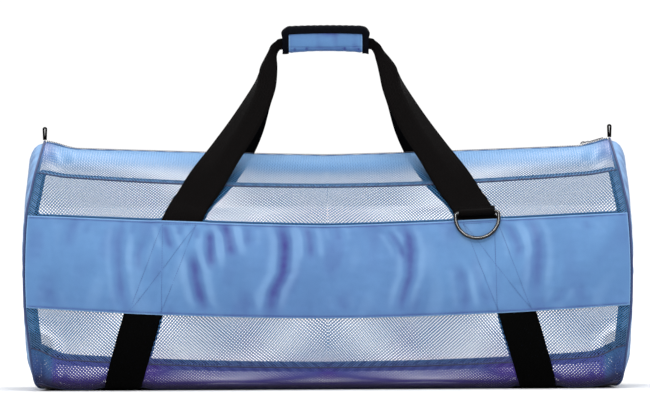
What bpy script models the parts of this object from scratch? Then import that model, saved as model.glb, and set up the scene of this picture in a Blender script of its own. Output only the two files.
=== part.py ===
"""A mesh dive gear bag: a long soft duffel of open mesh and solid nylon with webbing handles.

Metres, +Z up. The bag stands on the floor at z = 0, its length runs along X, and its front
faces -Y. Every panel of cloth follows one soft body surface, which is worked out from the
table SECTION: a row for each seam and soft corner, from the zip down to the base.
"""
from collections import namedtuple
from math import acos, atan2, cos, degrees, pi, radians, sin

import bmesh
import bpy
from mathutils import Matrix, Vector

OBJECT_NAME = "mesh_gear_bag"

# Thickness of the materials, and the clear gap kept between pieces
MESH_THICK = 0.0012
NYLON_THICK = 0.0012
TAPE_THICK = 0.0010
WEBBING_THICK = 0.0022
LOOP_THICK = 0.0015
SEAM_GAP = 0.0012
LAYER_GAP = 0.0009

# The body's section: y and z of each line at the middle of the bag (mid) and at its ends
# (end), the power of |x| that joins them, the extra rise in the last stretch before the end
# seam (lift), and the half length of the bag along that line (x_end).
Row = namedtuple("Row", "name y_mid z_mid y_end z_end power lift x_end")
SECTION = (
    Row("zip",          0.0000, 0.3295,  0.0000, 0.3420, 1.2, 0.0090, 0.4000),
    Row("crown",       -0.0460, 0.3240, -0.0450, 0.3365, 1.2, 0.0080, 0.4015),
    Row("shoulder",    -0.0860, 0.3080, -0.0840, 0.3230, 1.5, 0.0050, 0.4060),
    Row("upper_seam",  -0.1215, 0.2850, -0.1175, 0.3045, 1.8, 0.0030, 0.4115),
    Row("upper_mesh",  -0.1445, 0.2570, -0.1380, 0.2765, 1.5, 0.0010, 0.4180),
    Row("band_top",    -0.1610, 0.2305, -0.1540, 0.2470, 1.3, 0.0000, 0.4240),
    Row("band_mid",    -0.1760, 0.1655, -0.1680, 0.1830, 1.5, 0.0000, 0.4275),
    Row("band_bottom", -0.1760, 0.1010, -0.1690, 0.1180, 1.7, 0.0000, 0.4265),
    Row("lower_mesh",  -0.1700, 0.0620, -0.1650, 0.0800, 1.8, 0.0040, 0.4230),
    Row("lower_seam",  -0.1560, 0.0315, -0.1560, 0.0480, 2.0, 0.0130, 0.4205),
    Row("heel",        -0.1400, 0.0120, -0.1440, 0.0190, 2.0, 0.0100, 0.4165),
    Row("base_seam",   -0.1210, 0.0020, -0.1270, 0.0020, 2.0, 0.0085, 0.4125),
    Row("toe",         -0.0960, 0.0000, -0.1020, 0.0000, 2.0, 0.0040, 0.4060),
    Row("base",         0.0000, 0.0000,  0.0000, 0.0000, 2.0, 0.0025, 0.4020),
)
LINE = {row.name: index for index, row in enumerate(SECTION)}
LIFT_START = 0.88

# Columns of the panels between the straps and the ends, as shares of that distance, and
# the least gap between two columns of the band
COLUMN_SHARES = (0.50, 0.78, 1.0)
COLUMN_GAP = 0.0020

# Soft dents and swells of the cloth near the corners: place along X and down the section,
# half widths there, and height out of the surface. Each one shows in all four corners.
Swell = namedtuple("Swell", "name x line x_width line_width height")
SWELLS = (
    Swell("corner tuck",   0.4060, 10.0, 0.0100, 1.3, -0.0060),
    Swell("tuck ridge",    0.3860, 10.0, 0.0120, 1.2,  0.0035),
    Swell("peak hollow",   0.3800,  1.6, 0.0220, 1.6, -0.0040),
    Swell("slack side",    0.1500,  4.2, 0.0900, 1.0, -0.0015),
    Swell("slack heel",    0.1400, 10.0, 0.0800, 1.0,  0.0020),
)

# The end panels bulge beyond the end seam: x of the bulge at each height
Bulge = namedtuple("Bulge", "z x")
END_BULGE = (
    Bulge(0.0000, 0.4080),
    Bulge(0.0120, 0.4170),
    Bulge(0.0450, 0.4265),
    Bulge(0.1100, 0.4290),
    Bulge(0.2000, 0.4310),
    Bulge(0.2670, 0.4280),
    Bulge(0.3100, 0.4255),
    Bulge(0.3380, 0.4285),
    Bulge(0.3510, 0.4340),
)
END_CENTRE_Z = 0.160
END_RINGS = (0.985, 0.945, 0.82, 0.50, 0.0)
PIPING_RADIUS = 0.0016
END_MARGIN = 0.0026

# Zip
ZIP_HALF_WIDTH = 0.0155
CHAIN_HALF_WIDTH = 0.0030
CHAIN_HEIGHT = 0.0016
SLIDER_X = 0.3590

# Loops at the ends of the zip
END_LOOP_HALF_WIDTH = 0.0100
END_LOOP_SPREAD = 0.00345
END_LOOP_HEIGHT = 0.0185
END_LOOP_FOOT = 0.0020

# Binding tape inside the side panels: it covers their two long seams, and at their ends it
# lies just inside the end seam
TAPE_EDGE = 0.0010
TAPE_BEYOND_SEAM = 0.0085
TAPE_WIDTH = 0.0095
TAPE_DEPTH = 0.0023

# Straps: half of the webbing's width, and where it lies on the body (x of its middle). Both
# straps sit a little to the right of the places in the table, by STRAP_SHIFT.
STRAP_HALF = 0.0250
FOLD_HALF = 0.0025
StrapRow = namedtuple("StrapRow", "line x")
STRAP_ON_BODY = (
    StrapRow("base",        0.2945),
    StrapRow("toe",         0.2945),
    StrapRow("base_seam",   0.2925),
    StrapRow("heel",        0.2900),
    StrapRow("lower_seam",  0.2835),
    StrapRow("lower_mesh",  0.2745),
    StrapRow("band_bottom", 0.2635),
    StrapRow("band_mid",    0.2365),
    StrapRow("band_top",    0.2095),
    StrapRow("upper_mesh",  0.1935),
    StrapRow("upper_seam",  0.1755),
)
STRAP_LEAVES = 4.0
STRAP_SHIFT = 0.0028
STRAP_END_GAP = 0.0008
STRAP_TUNNEL = WEBBING_THICK + LAYER_GAP
TUNNEL_HALF = 0.0290
TUNNEL_RAMP = 0.0150

# Above the body each front strap rises free to the handle, and folds in half on the way.
# x, y, z: its crease, along the middle of the webbing. x_in, y_in, z_in: its inner edge.
# fold: the angle by which its outer half is turned back, in degrees.
FreeRow = namedtuple("FreeRow", "x y z x_in y_in z_in fold")
STRAP_FREE = (
    FreeRow(0.1725, -0.1250, 0.2965, 0.1515, -0.1330, 0.2830,   0.0),
    FreeRow(0.1487, -0.1000, 0.3363, 0.1275, -0.1080, 0.3230,  26.0),
    FreeRow(0.1244, -0.0770, 0.3743, 0.1032, -0.0850, 0.3610,  36.0),
    FreeRow(0.1050, -0.0550, 0.4133, 0.0838, -0.0620, 0.4000,  53.0),
    FreeRow(0.0990, -0.0425, 0.4334, 0.0757, -0.0480, 0.4240,  69.0),
    FreeRow(0.0954, -0.0320, 0.4524, 0.0721, -0.0355, 0.4430,  87.0),
    FreeRow(0.0876, -0.0215, 0.4668, 0.0692, -0.0230, 0.4580, 128.0),
    FreeRow(0.0813, -0.0135, 0.4763, 0.0676, -0.0140, 0.4660, 155.0),
    FreeRow(0.0766, -0.0092, 0.4853, 0.0666, -0.0092, 0.4715, 170.0),
    FreeRow(0.0695, -0.0066, 0.4915, 0.0656, -0.0066, 0.4752, 174.0),
    FreeRow(0.0630, -0.0061, 0.4950, 0.0630, -0.0061, 0.4775, 175.0),
    FreeRow(0.0300, -0.0061, 0.4985, 0.0300, -0.0061, 0.4805, 175.0),
    FreeRow(0.0000, -0.0061, 0.4995, 0.0000, -0.0061, 0.4815, 175.0),
)
# The back straps are drawn further in than the front ones where they leave the body
BACK_STRAP_INWARD = 0.0150

# Handle sleeve
HANDLE_X = -0.0015
SLEEVE_LENGTH = 0.1220
SLEEVE_TOP = 0.5105
SLEEVE_BOTTOM = 0.4744
SLEEVE_ARCH = 0.0020
SLEEVE_HALF_DEPTH = 0.0125
SLEEVE_CORNER = 0.0110
SLEEVE_POWER = 3.6
SLEEVE_WALL = 0.0020
BINDING_WALL = 0.0012
BINDING_SIDE = 0.0085
BINDING_TOP_ANGLE = 78.0

# D-ring and its loop
DRING_X = 0.2100
DRING_LINE = 4.80
DRING_WIRE = 0.00265
DRING_HALF = 0.03035
DRING_LEG = 0.0080
DRING_CORNER = 0.0044
DRING_OFFSET = 0.0093
DRING_LEAN = 20.0
DRING_TILT = 3.0
DRING_LOOP_HALF = 0.0252
DRING_LOOP_RISE = 0.0110
DRING_CLEAR = 0.00035
BINDING_CLEAR = 0.0007

# Band: how far it stands off the body, over the straps and between them, and its folds.
# A fold is a valley from x_top on the upper edge to x_low on the lower edge.
BAND_PLAIN = LAYER_GAP + NYLON_THICK
BAND_OVER_STRAP = BAND_PLAIN + WEBBING_THICK + LAYER_GAP
BAND_PUFF = 0.0032
BAND_PLATEAU = 0.0310
BAND_RAMP = 0.0110
Fold = namedtuple("Fold", "x_top x_mid x_low width depth")
BAND_FOLDS = (
    Fold(-0.2880, -0.2950, -0.3160, 0.0100, 0.9),
    Fold(-0.1630, -0.1850, -0.1800, 0.0085, 1.0),
    Fold(-0.1440, -0.1630, -0.1590, 0.0070, 0.6),
    Fold(-0.1190, -0.1380, -0.1380, 0.0085, 0.9),
    Fold(-0.0700, -0.0760, -0.0870, 0.0100, 0.9),
    Fold(-0.0330, -0.0420, -0.0530, 0.0090, 0.5),
    Fold(0.0110, 0.0090, 0.0070, 0.0110, 0.4),
    Fold(0.0770, 0.0860, 0.0950, 0.0110, 0.5),
    Fold(0.1065, 0.1110, 0.1020, 0.0090, 0.6),
    Fold(0.1400, 0.1640, 0.1700, 0.0100, 0.4),
    Fold(0.2530, 0.2860, 0.3160, 0.0090, 0.8),
    Fold(0.2850, 0.3100, 0.3400, 0.0100, 0.8),
)

Finish = namedtuple("Finish", "colour roughness metallic")
FINISHES = {
    "mesh": Finish((0.30, 0.45, 0.78), 0.75, 0.0),
    "nylon": Finish((0.15, 0.36, 0.72), 0.60, 0.0),
    "piping": Finish((0.04, 0.09, 0.30), 0.60, 0.0),
    "webbing": Finish((0.012, 0.011, 0.012), 0.80, 0.0),
    "zip": Finish((0.02, 0.02, 0.022), 0.50, 0.0),
    "metal": Finish((0.05, 0.05, 0.055), 0.25, 1.0),
}


def clear_scene():
    for old in list(bpy.data.objects):
        bpy.data.objects.remove(old, do_unlink=True)


def make_material(name):
    finish = FINISHES[name]
    material = bpy.data.materials.new(name)
    material.use_nodes = True
    shader = material.node_tree.nodes["Principled BSDF"]
    shader.inputs["Base Color"].default_value = (*finish.colour, 1.0)
    shader.inputs["Roughness"].default_value = finish.roughness
    shader.inputs["Metallic"].default_value = finish.metallic
    material.diffuse_color = (*finish.colour, 1.0)
    return material


def smooth(t):
    """A soft step from 0 to 1."""
    t = min(1.0, max(0.0, t))
    return t * t * (3.0 - 2.0 * t)


def catmull(before, start, end, after, t):
    """The point at t between start and end on a smooth curve through all four."""
    lead = (end - before) * 0.5
    trail = (after - start) * 0.5
    square = t * t
    cube = square * t
    return (start * (2 * cube - 3 * square + 1) + lead * (cube - 2 * square + t)
            + end * (3 * square - 2 * cube) + trail * (cube - square))


def along(values, position):
    """A smooth curve through a list of vectors or numbers, read at a fractional index."""
    last = len(values) - 1
    index = min(int(max(position, 0.0)), last - 1)
    before = values[index - 1] if index > 0 else values[0] * 2 - values[1]
    after = values[index + 2] if index + 2 <= last else values[last] * 2 - values[last - 1]
    return catmull(before, values[index], values[index + 1], after, position - index)


def straight(pairs, key):
    """Reads a table of (key, value) pairs, in rising order of key, with straight steps."""
    if key <= pairs[0][0]:
        return pairs[0][1]
    for (low, low_value), (high, high_value) in zip(pairs, pairs[1:]):
        if key <= high:
            return low_value + (high_value - low_value) * (key - low) / (high - low)
    return pairs[-1][1]


def half_length(line):
    """The bag's half length along a line of the section."""
    return along([row.x_end for row in SECTION], line)


def strap_x(line, end):
    """The distance of a strap's middle from x = 0 where it lies on the body."""
    pairs = sorted((LINE[row.line], row.x) for row in STRAP_ON_BODY)
    return straight(pairs, line) + end * STRAP_SHIFT


def strap_distance(x, line):
    """How far a place lies from the middle of the nearer strap."""
    end = -1 if x < 0 else 1
    return abs(abs(x) - strap_x(line, end))


def section_point(line, fraction):
    """The front half of the section at a fraction of the bag's half length."""
    points = []
    for row in SECTION:
        share = fraction ** row.power
        lift = row.lift * smooth((fraction - LIFT_START) / (1.0 - LIFT_START))
        points.append(Vector((0.0,
                              row.y_mid + (row.y_end - row.y_mid) * share,
                              row.z_mid + (row.z_end - row.z_mid) * share + lift)))
    first = min(int(line), len(SECTION) - 2)
    if first == 0:
        mirrored = Vector((0.0, -points[1].y, points[1].z))
        return catmull(mirrored, points[0], points[1], points[2], line)
    if first >= LINE["toe"]:
        return points[first].lerp(points[first + 1], line - first)
    after = points[min(first + 2, len(points) - 1)]
    if first + 1 == LINE["toe"]:
        after = points[first + 1] * 2 - points[first]
        after.z = points[first + 1].z
    return catmull(points[first - 1], points[first], points[first + 1], after, line - first)


def tunnel_rise(x, line):
    """How far the base is held off the floor by the strap that passes under it."""
    near = strap_distance(x, line)
    reach = smooth((TUNNEL_HALF + TUNNEL_RAMP - near) / TUNNEL_RAMP)
    depth = smooth((line - LINE["lower_seam"] - 0.6) / 1.4)
    return STRAP_TUNNEL * reach * depth


def swell_height(x, line):
    total = 0.0
    for swell in SWELLS:
        across = (abs(x) - swell.x) / swell.x_width
        down = (line - swell.line) / swell.line_width
        total += swell.height * smooth(1.0 - abs(across)) * smooth(1.0 - abs(down))
    return total


def plain_body(x, line):
    """The front of the body without its dents."""
    fraction = min(1.0, abs(x) / half_length(line))
    point = section_point(line, fraction)
    point.x = x
    point.z = max(point.z, 0.0) + tunnel_rise(x, line)
    return point


def plain_normal(x, line):
    step_x = 0.0005
    step_line = 0.01
    last = len(SECTION) - 1
    low = max(0.0, line - step_line)
    high = min(last, line + step_line)
    down = plain_body(x, high) - plain_body(x, low)
    across = plain_body(x + step_x, line) - plain_body(x - step_x, line)
    if line < step_line:
        down = Vector((0.0, -1.0, 0.0))
    if line > last - step_line:
        down = Vector((0.0, 1.0, 0.0))
    return down.cross(across).normalized()


def body(x, line, side, offset=0.0):
    """A point on the body: side is -1 for the front half and 1 for the back half."""
    normal = plain_normal(x, line)
    point = plain_body(x, line) + normal * (swell_height(x, line) + offset)
    point.y *= -side
    return point


def line_speed(line, x=0.0):
    """Metres of cloth for one step of line."""
    low = plain_body(x, max(0.0, line - 0.02))
    high = plain_body(x, min(len(SECTION) - 1.0, line + 0.02))
    return (high - low).length / 0.04


def shifted(line, distance):
    """The line that lies a distance in metres further down the section."""
    return line + distance / line_speed(line)


def stations(start, end, step):
    """The two ends, and every whole number of steps between them."""
    inner = []
    count = int(start / step) + 1
    while count * step < end - 0.2 * step:
        if count * step > start + 0.2 * step:
            inner.append(count * step)
        count += 1
    return [start, *inner, end]


def column_places(line):
    """The x of every column of the body's panels: they run along both edges of the straps."""
    reach = half_length(line) - END_MARGIN
    places = [0.0]
    for end in (-1, 1):
        middle = strap_x(line, end)
        inner = middle - TUNNEL_HALF - TUNNEL_RAMP
        outer = middle + TUNNEL_HALF + TUNNEL_RAMP
        half = [inner * 0.5, inner, middle - TUNNEL_HALF, middle + TUNNEL_HALF, outer]
        half += [outer + (reach - outer) * share for share in COLUMN_SHARES]
        places += [end * x for x in half]
    return sorted(places)


def grid_object(name, columns, rows, place, thickness, material, flip=False, keep=None):
    """A sheet of cloth: a grid whose corners are put in place, then given its thickness.

    place(column, row) gives a corner's point. The thickness lies behind the sheet's face,
    which turns over with flip. keep(column, row) says which of the grid's squares stay.
    """
    mesh = bpy.data.meshes.new(name)
    grid = bmesh.new()
    bmesh.ops.create_grid(grid, x_segments=columns, y_segments=rows, size=0.5)
    if keep:
        gone = []
        for face in grid.faces:
            middle = face.calc_center_median()
            column = int((middle.x + 0.5) * columns)
            row = int((middle.y + 0.5) * rows)
            if not keep(column, row):
                gone.append(face)
        bmesh.ops.delete(grid, geom=gone, context="FACES")
    for corner in grid.verts:
        column = round((corner.co.x + 0.5) * columns)
        row = round((corner.co.y + 0.5) * rows)
        corner.co = place(column, row)
    bmesh.ops.remove_doubles(grid, verts=grid.verts, dist=0.000005)
    if flip:
        bmesh.ops.reverse_faces(grid, faces=grid.faces)
    grid.to_mesh(mesh)
    grid.free()
    piece = bpy.data.objects.new(name, mesh)
    piece.data.materials.append(material)
    parts.objects.link(piece)
    solidify = piece.modifiers.new("thickness", "SOLIDIFY")
    solidify.thickness = thickness
    solidify.offset = -1.0
    solidify.use_even_offset = True
    triangulate = piece.modifiers.new("triangles", "TRIANGULATE")
    triangulate.quad_method = "SHORTEST_DIAGONAL"
    mesh.shade_smooth()
    return piece


def body_panel(name, side, columns, lines, offset, thickness, material):
    """A panel of the body between two lines.

    columns(line) gives the x of each column, and offset(x, line) its height off the body.
    """
    def place(column, row):
        line = lines[row]
        x = columns(line)[column]
        return body(x, line, side, offset(x, line))
    count = len(columns(lines[0])) - 1
    return grid_object(name, count, len(lines) - 1, place, thickness, material,
                       flip=side < 0)


def on_body(x, line):
    return 0.0


def mesh_panels(side, word):
    material = materials["mesh"]
    half_gap = SEAM_GAP / 2
    zip_edge = shifted(0.0, ZIP_HALF_WIDTH + SEAM_GAP)
    top = stations(zip_edge, shifted(LINE["upper_seam"], -half_gap), 0.5)
    body_panel("mesh_top_" + word, side, column_places, top, on_body, MESH_THICK, material)
    front = stations(shifted(LINE["upper_seam"], half_gap),
                     shifted(LINE["lower_seam"], -half_gap), 0.5)
    body_panel("mesh_" + word, side, column_places, front, on_body, MESH_THICK, material)
    lower = stations(shifted(LINE["lower_seam"], half_gap),
                     shifted(LINE["base_seam"], -half_gap), 0.5)
    body_panel("mesh_lower_" + word, side, column_places, lower, on_body, MESH_THICK,
               material)


def base_panel():
    """The solid base, from one base seam to the other."""
    edge = shifted(LINE["base_seam"], SEAM_GAP / 2)
    half = [edge, LINE["base_seam"] + 0.5, LINE["toe"], LINE["base"]]
    lines = half + half[-2::-1]
    sides = [-1] * len(half) + [1] * (len(half) - 1)

    def place(column, row):
        return body(column_places(lines[row])[column], lines[row], sides[row])
    grid_object("base_panel", len(column_places(edge)) - 1, len(lines) - 1, place,
                NYLON_THICK, materials["nylon"], flip=True)


def band_down(line):
    """How far down the band a line lies: 0 on its upper edge and 1 on its lower edge."""
    down = (line - LINE["band_top"]) / (LINE["band_bottom"] - LINE["band_top"])
    return min(1.0, max(0.0, down))


def fold_x(fold, line):
    return straight([(0.0, fold.x_top), (0.5, fold.x_mid), (1.0, fold.x_low)], band_down(line))


def fold_height(x, line):
    """How far the band stands out between its folds: 1 on a ridge and 0 in a valley."""
    height = 1.0
    for fold in BAND_FOLDS:
        height -= fold.depth * smooth(1.0 - abs(x - fold_x(fold, line)) / fold.width)
    return max(0.0, height) * (0.35 + 0.65 * sin(pi * band_down(line)))


def band_offset(x, line):
    """The band lies over the strap in a flat ridge, and puffs out a little elsewhere."""
    near = strap_distance(x, line)
    ridge = smooth((BAND_PLATEAU + BAND_RAMP - near) / BAND_RAMP)
    ends = smooth((0.415 - abs(x)) / 0.04)
    plain = BAND_PLAIN + BAND_PUFF * fold_height(x, line) * ends
    return plain + (BAND_OVER_STRAP - plain) * ridge


def band_columns(line):
    """The x of the band's columns: three to each fold, and two to each edge of a strap."""
    reach = half_length(line) - END_MARGIN
    places = [-reach, -0.97 * reach, 0.97 * reach, reach]
    for edge in (-BAND_PLATEAU - BAND_RAMP, -BAND_PLATEAU, BAND_PLATEAU,
                 BAND_PLATEAU + BAND_RAMP):
        places += [strap_x(line, 1) + edge, -strap_x(line, -1) - edge]
    for fold in BAND_FOLDS:
        middle = fold_x(fold, line)
        places += [middle - fold.width, middle, middle + fold.width]
    places.sort()
    for index in range(1, len(places) - 1):
        places[index] = max(places[index], places[index - 1] + COLUMN_GAP)
    return places


def bands():
    lines = stations(float(LINE["band_top"]), float(LINE["band_bottom"]), 0.5)
    for side, word in ((-1, "front"), (1, "back")):
        body_panel("band_" + word, side, band_columns, lines, band_offset, NYLON_THICK,
                   materials["nylon"])


def end_outline():
    """The end seam as a closed loop: (line, side), from the zip down the front and back up."""
    lines = [0.0, 0.5, 1.0, 1.5, 2.0, 2.5, 3.0, 4.0, 5.0, 6.0, 7.0, 8.0, 9.0, 9.5, 10.0, 10.5,
             11.0, 12.0, 13.0]
    front = [(line, -1) for line in lines]
    back = [(line, 1) for line in lines[-2:0:-1]]
    return front + back


def end_seam_point(line, side, end):
    """A point of the end seam; end is -1 for the left end and 1 for the right end."""
    point = section_point(line, 1.0)
    return Vector((end * half_length(line), -side * point.y, max(point.z, PIPING_RADIUS)))


def end_panel(end, word):
    outline = end_outline()
    bulge = [(row.z, row.x) for row in END_BULGE]

    def place(column, row):
        line, side = outline[column % len(outline)]
        rim = end_seam_point(line, side, end)
        share = END_RINGS[row]
        y = rim.y * share
        z = END_CENTRE_Z + (rim.z - END_CENTRE_Z) * share
        puffed = (1.0 - (share / END_RINGS[0]) ** 8) ** 0.6
        start = abs(rim.x) + 0.0004
        x = start + (straight(bulge, z) - start) * puffed
        return Vector((end * x, y, z))
    grid_object("end_panel_" + word, len(outline), len(END_RINGS) - 1, place, NYLON_THICK,
                materials["nylon"], flip=end > 0)


def tube(name, points, radius, material, closed, resolution=1):
    """A round cord or wire through a list of points."""
    curve = bpy.data.curves.new(name, "CURVE")
    curve.dimensions = "3D"
    curve.bevel_depth = radius
    curve.bevel_resolution = resolution
    curve.use_fill_caps = True
    spline = curve.splines.new("POLY")
    spline.points.add(len(points) - 1)
    for knot, point in zip(spline.points, points):
        knot.co = (*point, 1.0)
    spline.use_cyclic_u = closed
    spline.use_smooth = True
    piece = bpy.data.objects.new(name, curve)
    curve.materials.append(material)
    parts.objects.link(piece)
    return piece


def piping(end, word):
    points = [end_seam_point(line, side, end) for line, side in end_outline()]
    tube("piping_" + word, points, PIPING_RADIUS, materials["piping"], closed=True,
         resolution=0)


def seam_tape(side, word):
    """A ring of tape inside a side panel, along its two long seams and its two ends."""
    upper = float(LINE["upper_seam"])
    lower = float(LINE["lower_seam"])
    lines = stations(shifted(upper, SEAM_GAP), shifted(lower, -SEAM_GAP), 0.5)
    last_column = len(column_places(upper)) - 1
    last_row = len(lines) - 1
    ring = [(column, 0) for column in range(last_column)]
    ring += [(last_column, row) for row in range(last_row)]
    ring += [(column, last_row) for column in range(last_column, 0, -1)]
    ring += [(0, row) for row in range(last_row, 0, -1)]

    def place(index, row):
        across = TAPE_WIDTH * row
        column, level = ring[index % len(ring)]
        top = shifted(upper, across - TAPE_BEYOND_SEAM)
        bottom = shifted(lower, TAPE_BEYOND_SEAM - across)
        line = min(max(lines[level], top), bottom)
        if level == 0:
            line = top
        if level == last_row:
            line = bottom
        inset = TAPE_EDGE + across
        reach = half_length(line) - END_MARGIN
        x = column_places(line)[column]
        x = min(max(x, inset - reach), reach - inset)
        return body(x, line, side, -TAPE_DEPTH)
    grid_object("seam_tape_" + word, len(ring), 1, place, TAPE_THICK, materials["webbing"],
                flip=side < 0)


def zip_strip():
    """The tape along the top, with the chain standing up along its middle."""
    profile = ((-ZIP_HALF_WIDTH, 0.0), (-CHAIN_HALF_WIDTH - 0.0008, 0.0),
               (-CHAIN_HALF_WIDTH, CHAIN_HEIGHT), (CHAIN_HALF_WIDTH, CHAIN_HEIGHT),
               (CHAIN_HALF_WIDTH + 0.0008, 0.0), (ZIP_HALF_WIDTH, 0.0))
    columns = column_places(0.0)

    def place(column, row):
        across, height = profile[row]
        side = -1 if across < 0 else 1
        return body(columns[column], shifted(0.0, abs(across)), side, height)
    grid_object("zip_strip", len(columns) - 1, len(profile) - 1, place, TAPE_THICK,
                materials["zip"])


def flat_outline(name, loops, half_depth, material, matrix):
    """A flat outline, with its holes, drawn in its own x and y and given a thickness."""
    curve = bpy.data.curves.new(name, "CURVE")
    curve.dimensions = "2D"
    curve.fill_mode = "BOTH"
    curve.extrude = half_depth
    for loop in loops:
        spline = curve.splines.new("POLY")
        spline.points.add(len(loop) - 1)
        for knot, (x, y) in zip(spline.points, loop):
            knot.co = (x, y, 0.0, 1.0)
        spline.use_cyclic_u = True
    curve.materials.append(material)
    piece = bpy.data.objects.new(name, curve)
    piece.matrix_world = matrix
    parts.objects.link(piece)
    return piece


def zip_slider():
    """The slider and its pull in one piece, seen from the side: x along the zip, y up."""
    outline = ((0.0, 0.0), (0.0100, 0.0), (0.0100, 0.0006), (0.0325, 0.0006), (0.0340, 0.0012),
               (0.0325, 0.0018), (0.0100, 0.0018), (0.0090, 0.0028), (0.0015, 0.0028),
               (0.0, 0.0018))
    chain_top = CHAIN_HEIGHT + LAYER_GAP
    start = body(SLIDER_X, 0.0, -1, chain_top)
    end = body(SLIDER_X + 0.034, 0.0, -1, chain_top)
    lean = atan2(end.z - start.z, end.x - start.x)
    matrix = (Matrix.Translation(start) @ Matrix.Rotation(-lean, 4, "Y")
              @ Matrix.Rotation(radians(90), 4, "X"))
    flat_outline("zip_slider", [outline], 0.0038, materials["metal"], matrix)


def end_loop(end, word):
    """A webbing tab folded over the end seam: an upside-down U, seen from the side."""
    outer = END_LOOP_SPREAD
    inner = outer - LOOP_THICK
    straight_top = END_LOOP_HEIGHT - outer
    steps = 6
    outline = [(-outer, 0.0)]
    for index in range(steps + 1):
        angle = pi - pi * index / steps
        outline.append((outer * cos(angle), straight_top + outer * sin(angle)))
    outline.append((outer, 0.0))
    outline.append((inner, 0.0))
    for index in range(steps + 1):
        angle = pi * index / steps
        outline.append((inner * cos(angle), straight_top + inner * sin(angle)))
    outline.append((-inner, 0.0))
    seam = end_seam_point(0.0, -1, end)
    foot = Vector((seam.x, 0.0, seam.z + END_LOOP_FOOT))
    matrix = Matrix.Translation(foot) @ Matrix.Rotation(radians(90), 4, "X")
    flat_outline("end_loop_" + word, [outline], END_LOOP_HALF_WIDTH, materials["webbing"],
                 matrix)


def back_shift(steps, side):
    """The back straps bow inwards between the band and the handle; steps rise from the band."""
    if side < 0:
        return 0.0
    return BACK_STRAP_INWARD * smooth(steps / 3.0) * smooth((5.2 - steps) / 2.2)


def strap_middle(line, end, side):
    return strap_x(line, end) - back_shift(LINE["band_top"] - line, side)


def strap_station_on_body(line, end, side):
    """Four points across the webbing where it lies on the body, outer edge first."""
    x = strap_middle(line, end, side)
    step = 0.05
    slope = atan2(strap_middle(line - step, end, side) - strap_middle(line + step, end, side),
                  2 * step * line_speed(line, x))
    if line >= LINE["toe"]:
        slope = 0.0
    row = []
    for across in (STRAP_HALF, FOLD_HALF, -FOLD_HALF, -STRAP_HALF):
        place_line = line + across * sin(slope) / line_speed(line, x)
        row.append(body(end * (x + across * cos(slope)), place_line, side,
                        LAYER_GAP + WEBBING_THICK))
    return row


def strap_station_free(row, end, side):
    """Four points across the webbing above the body, outer edge first."""
    crease = Vector((row.x, row.y, row.z))
    to_inner = Vector((row.x_in, row.y_in, row.z_in)) - crease
    half = to_inner.length - FOLD_HALF
    to_inner.normalize()
    back = Vector((0.0, 1.0, 0.0))
    back = (back - to_inner * back.dot(to_inner)).normalized()
    fold = radians(row.fold)
    to_outer = -to_inner * cos(fold) + back * sin(fold)
    middle = (to_inner - to_outer).normalized()
    points = [crease - middle * FOLD_HALF + to_outer * half,
              crease - middle * FOLD_HALF,
              crease + middle * FOLD_HALF,
              crease + middle * FOLD_HALF + to_inner * half]
    steps = STRAP_FREE.index(row) + 2
    inward = back_shift(steps, side)
    on_handle = smooth((steps - 6.0) / 4.0)
    slide = STRAP_SHIFT + (HANDLE_X - STRAP_SHIFT) * on_handle + end * STRAP_END_GAP * on_handle
    return [Vector((end * (point.x - inward) + slide, point.y * -side, point.z))
            for point in points]


def strap(end, word):
    """One webbing: from the handle down the front, under the base and up the back."""
    low = stations(STRAP_LEAVES, float(LINE["toe"]), 0.5) + [float(LINE["base"])]
    rows = []
    for side in (-1, 1):
        half = [strap_station_free(row, end, side) for row in STRAP_FREE[::-1]]
        half += [strap_station_on_body(line, end, side) for line in low]
        if side > 0:
            half = half[-2::-1]
        rows += half

    def place(column, row):
        return rows[column][row]
    grid_object("strap_" + word, len(rows) - 1, 3, place, WEBBING_THICK,
                materials["webbing"], flip=end > 0)


def sleeve_point(x, angle):
    """A point round the handle sleeve: angle 0 is its top, and x is from its middle."""
    half = SLEEVE_LENGTH / 2
    from_end = half - abs(x)
    arch = SLEEVE_ARCH * (1.0 - (x / half) ** 2)
    top = SLEEVE_TOP + arch * 0.7
    if from_end < SLEEVE_CORNER:
        reach = SLEEVE_CORNER - from_end
        top -= SLEEVE_CORNER - (SLEEVE_CORNER ** 2 - reach ** 2 * 0.92) ** 0.5
    bottom = SLEEVE_BOTTOM + arch * 1.6
    across = abs(sin(angle)) ** (2 / SLEEVE_POWER) * (1 if sin(angle) >= 0 else -1)
    up = abs(cos(angle)) ** (2 / SLEEVE_POWER) * (1 if cos(angle) >= 0 else -1)
    return Vector((HANDLE_X + x, -SLEEVE_HALF_DEPTH * across,
                   (top + bottom) / 2 + (top - bottom) / 2 * up))


def sleeve_shell(x, angle, offset):
    """A point at a distance outside the sleeve."""
    step = 0.0002
    turn = 0.02
    limit = SLEEVE_LENGTH / 2 - step
    place = min(max(x, -limit), limit)
    across = sleeve_point(place + step, angle) - sleeve_point(place - step, angle)
    around = sleeve_point(place, angle + turn) - sleeve_point(place, angle - turn)
    normal = around.cross(across).normalized()
    return sleeve_point(x, angle) + normal * offset


def sleeve_angles():
    """Angles round the sleeve, with one at each lower edge of the top binding."""
    edge = BINDING_TOP_ANGLE
    upper = [edge * share for share in (-1.0, -0.55, 0.0, 0.55, 1.0)]
    lower = [edge + (360 - 2 * edge) * share for share in (0.22, 0.36, 0.5, 0.64, 0.78, 1.0)]
    return [radians(angle) for angle in upper + lower]


def sleeve_columns():
    half = SLEEVE_LENGTH / 2
    ends = [half, half - 0.0025, half - 0.0055, half - BINDING_SIDE, half * 0.5]
    return [-value for value in ends] + [0.0] + ends[::-1]


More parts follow.
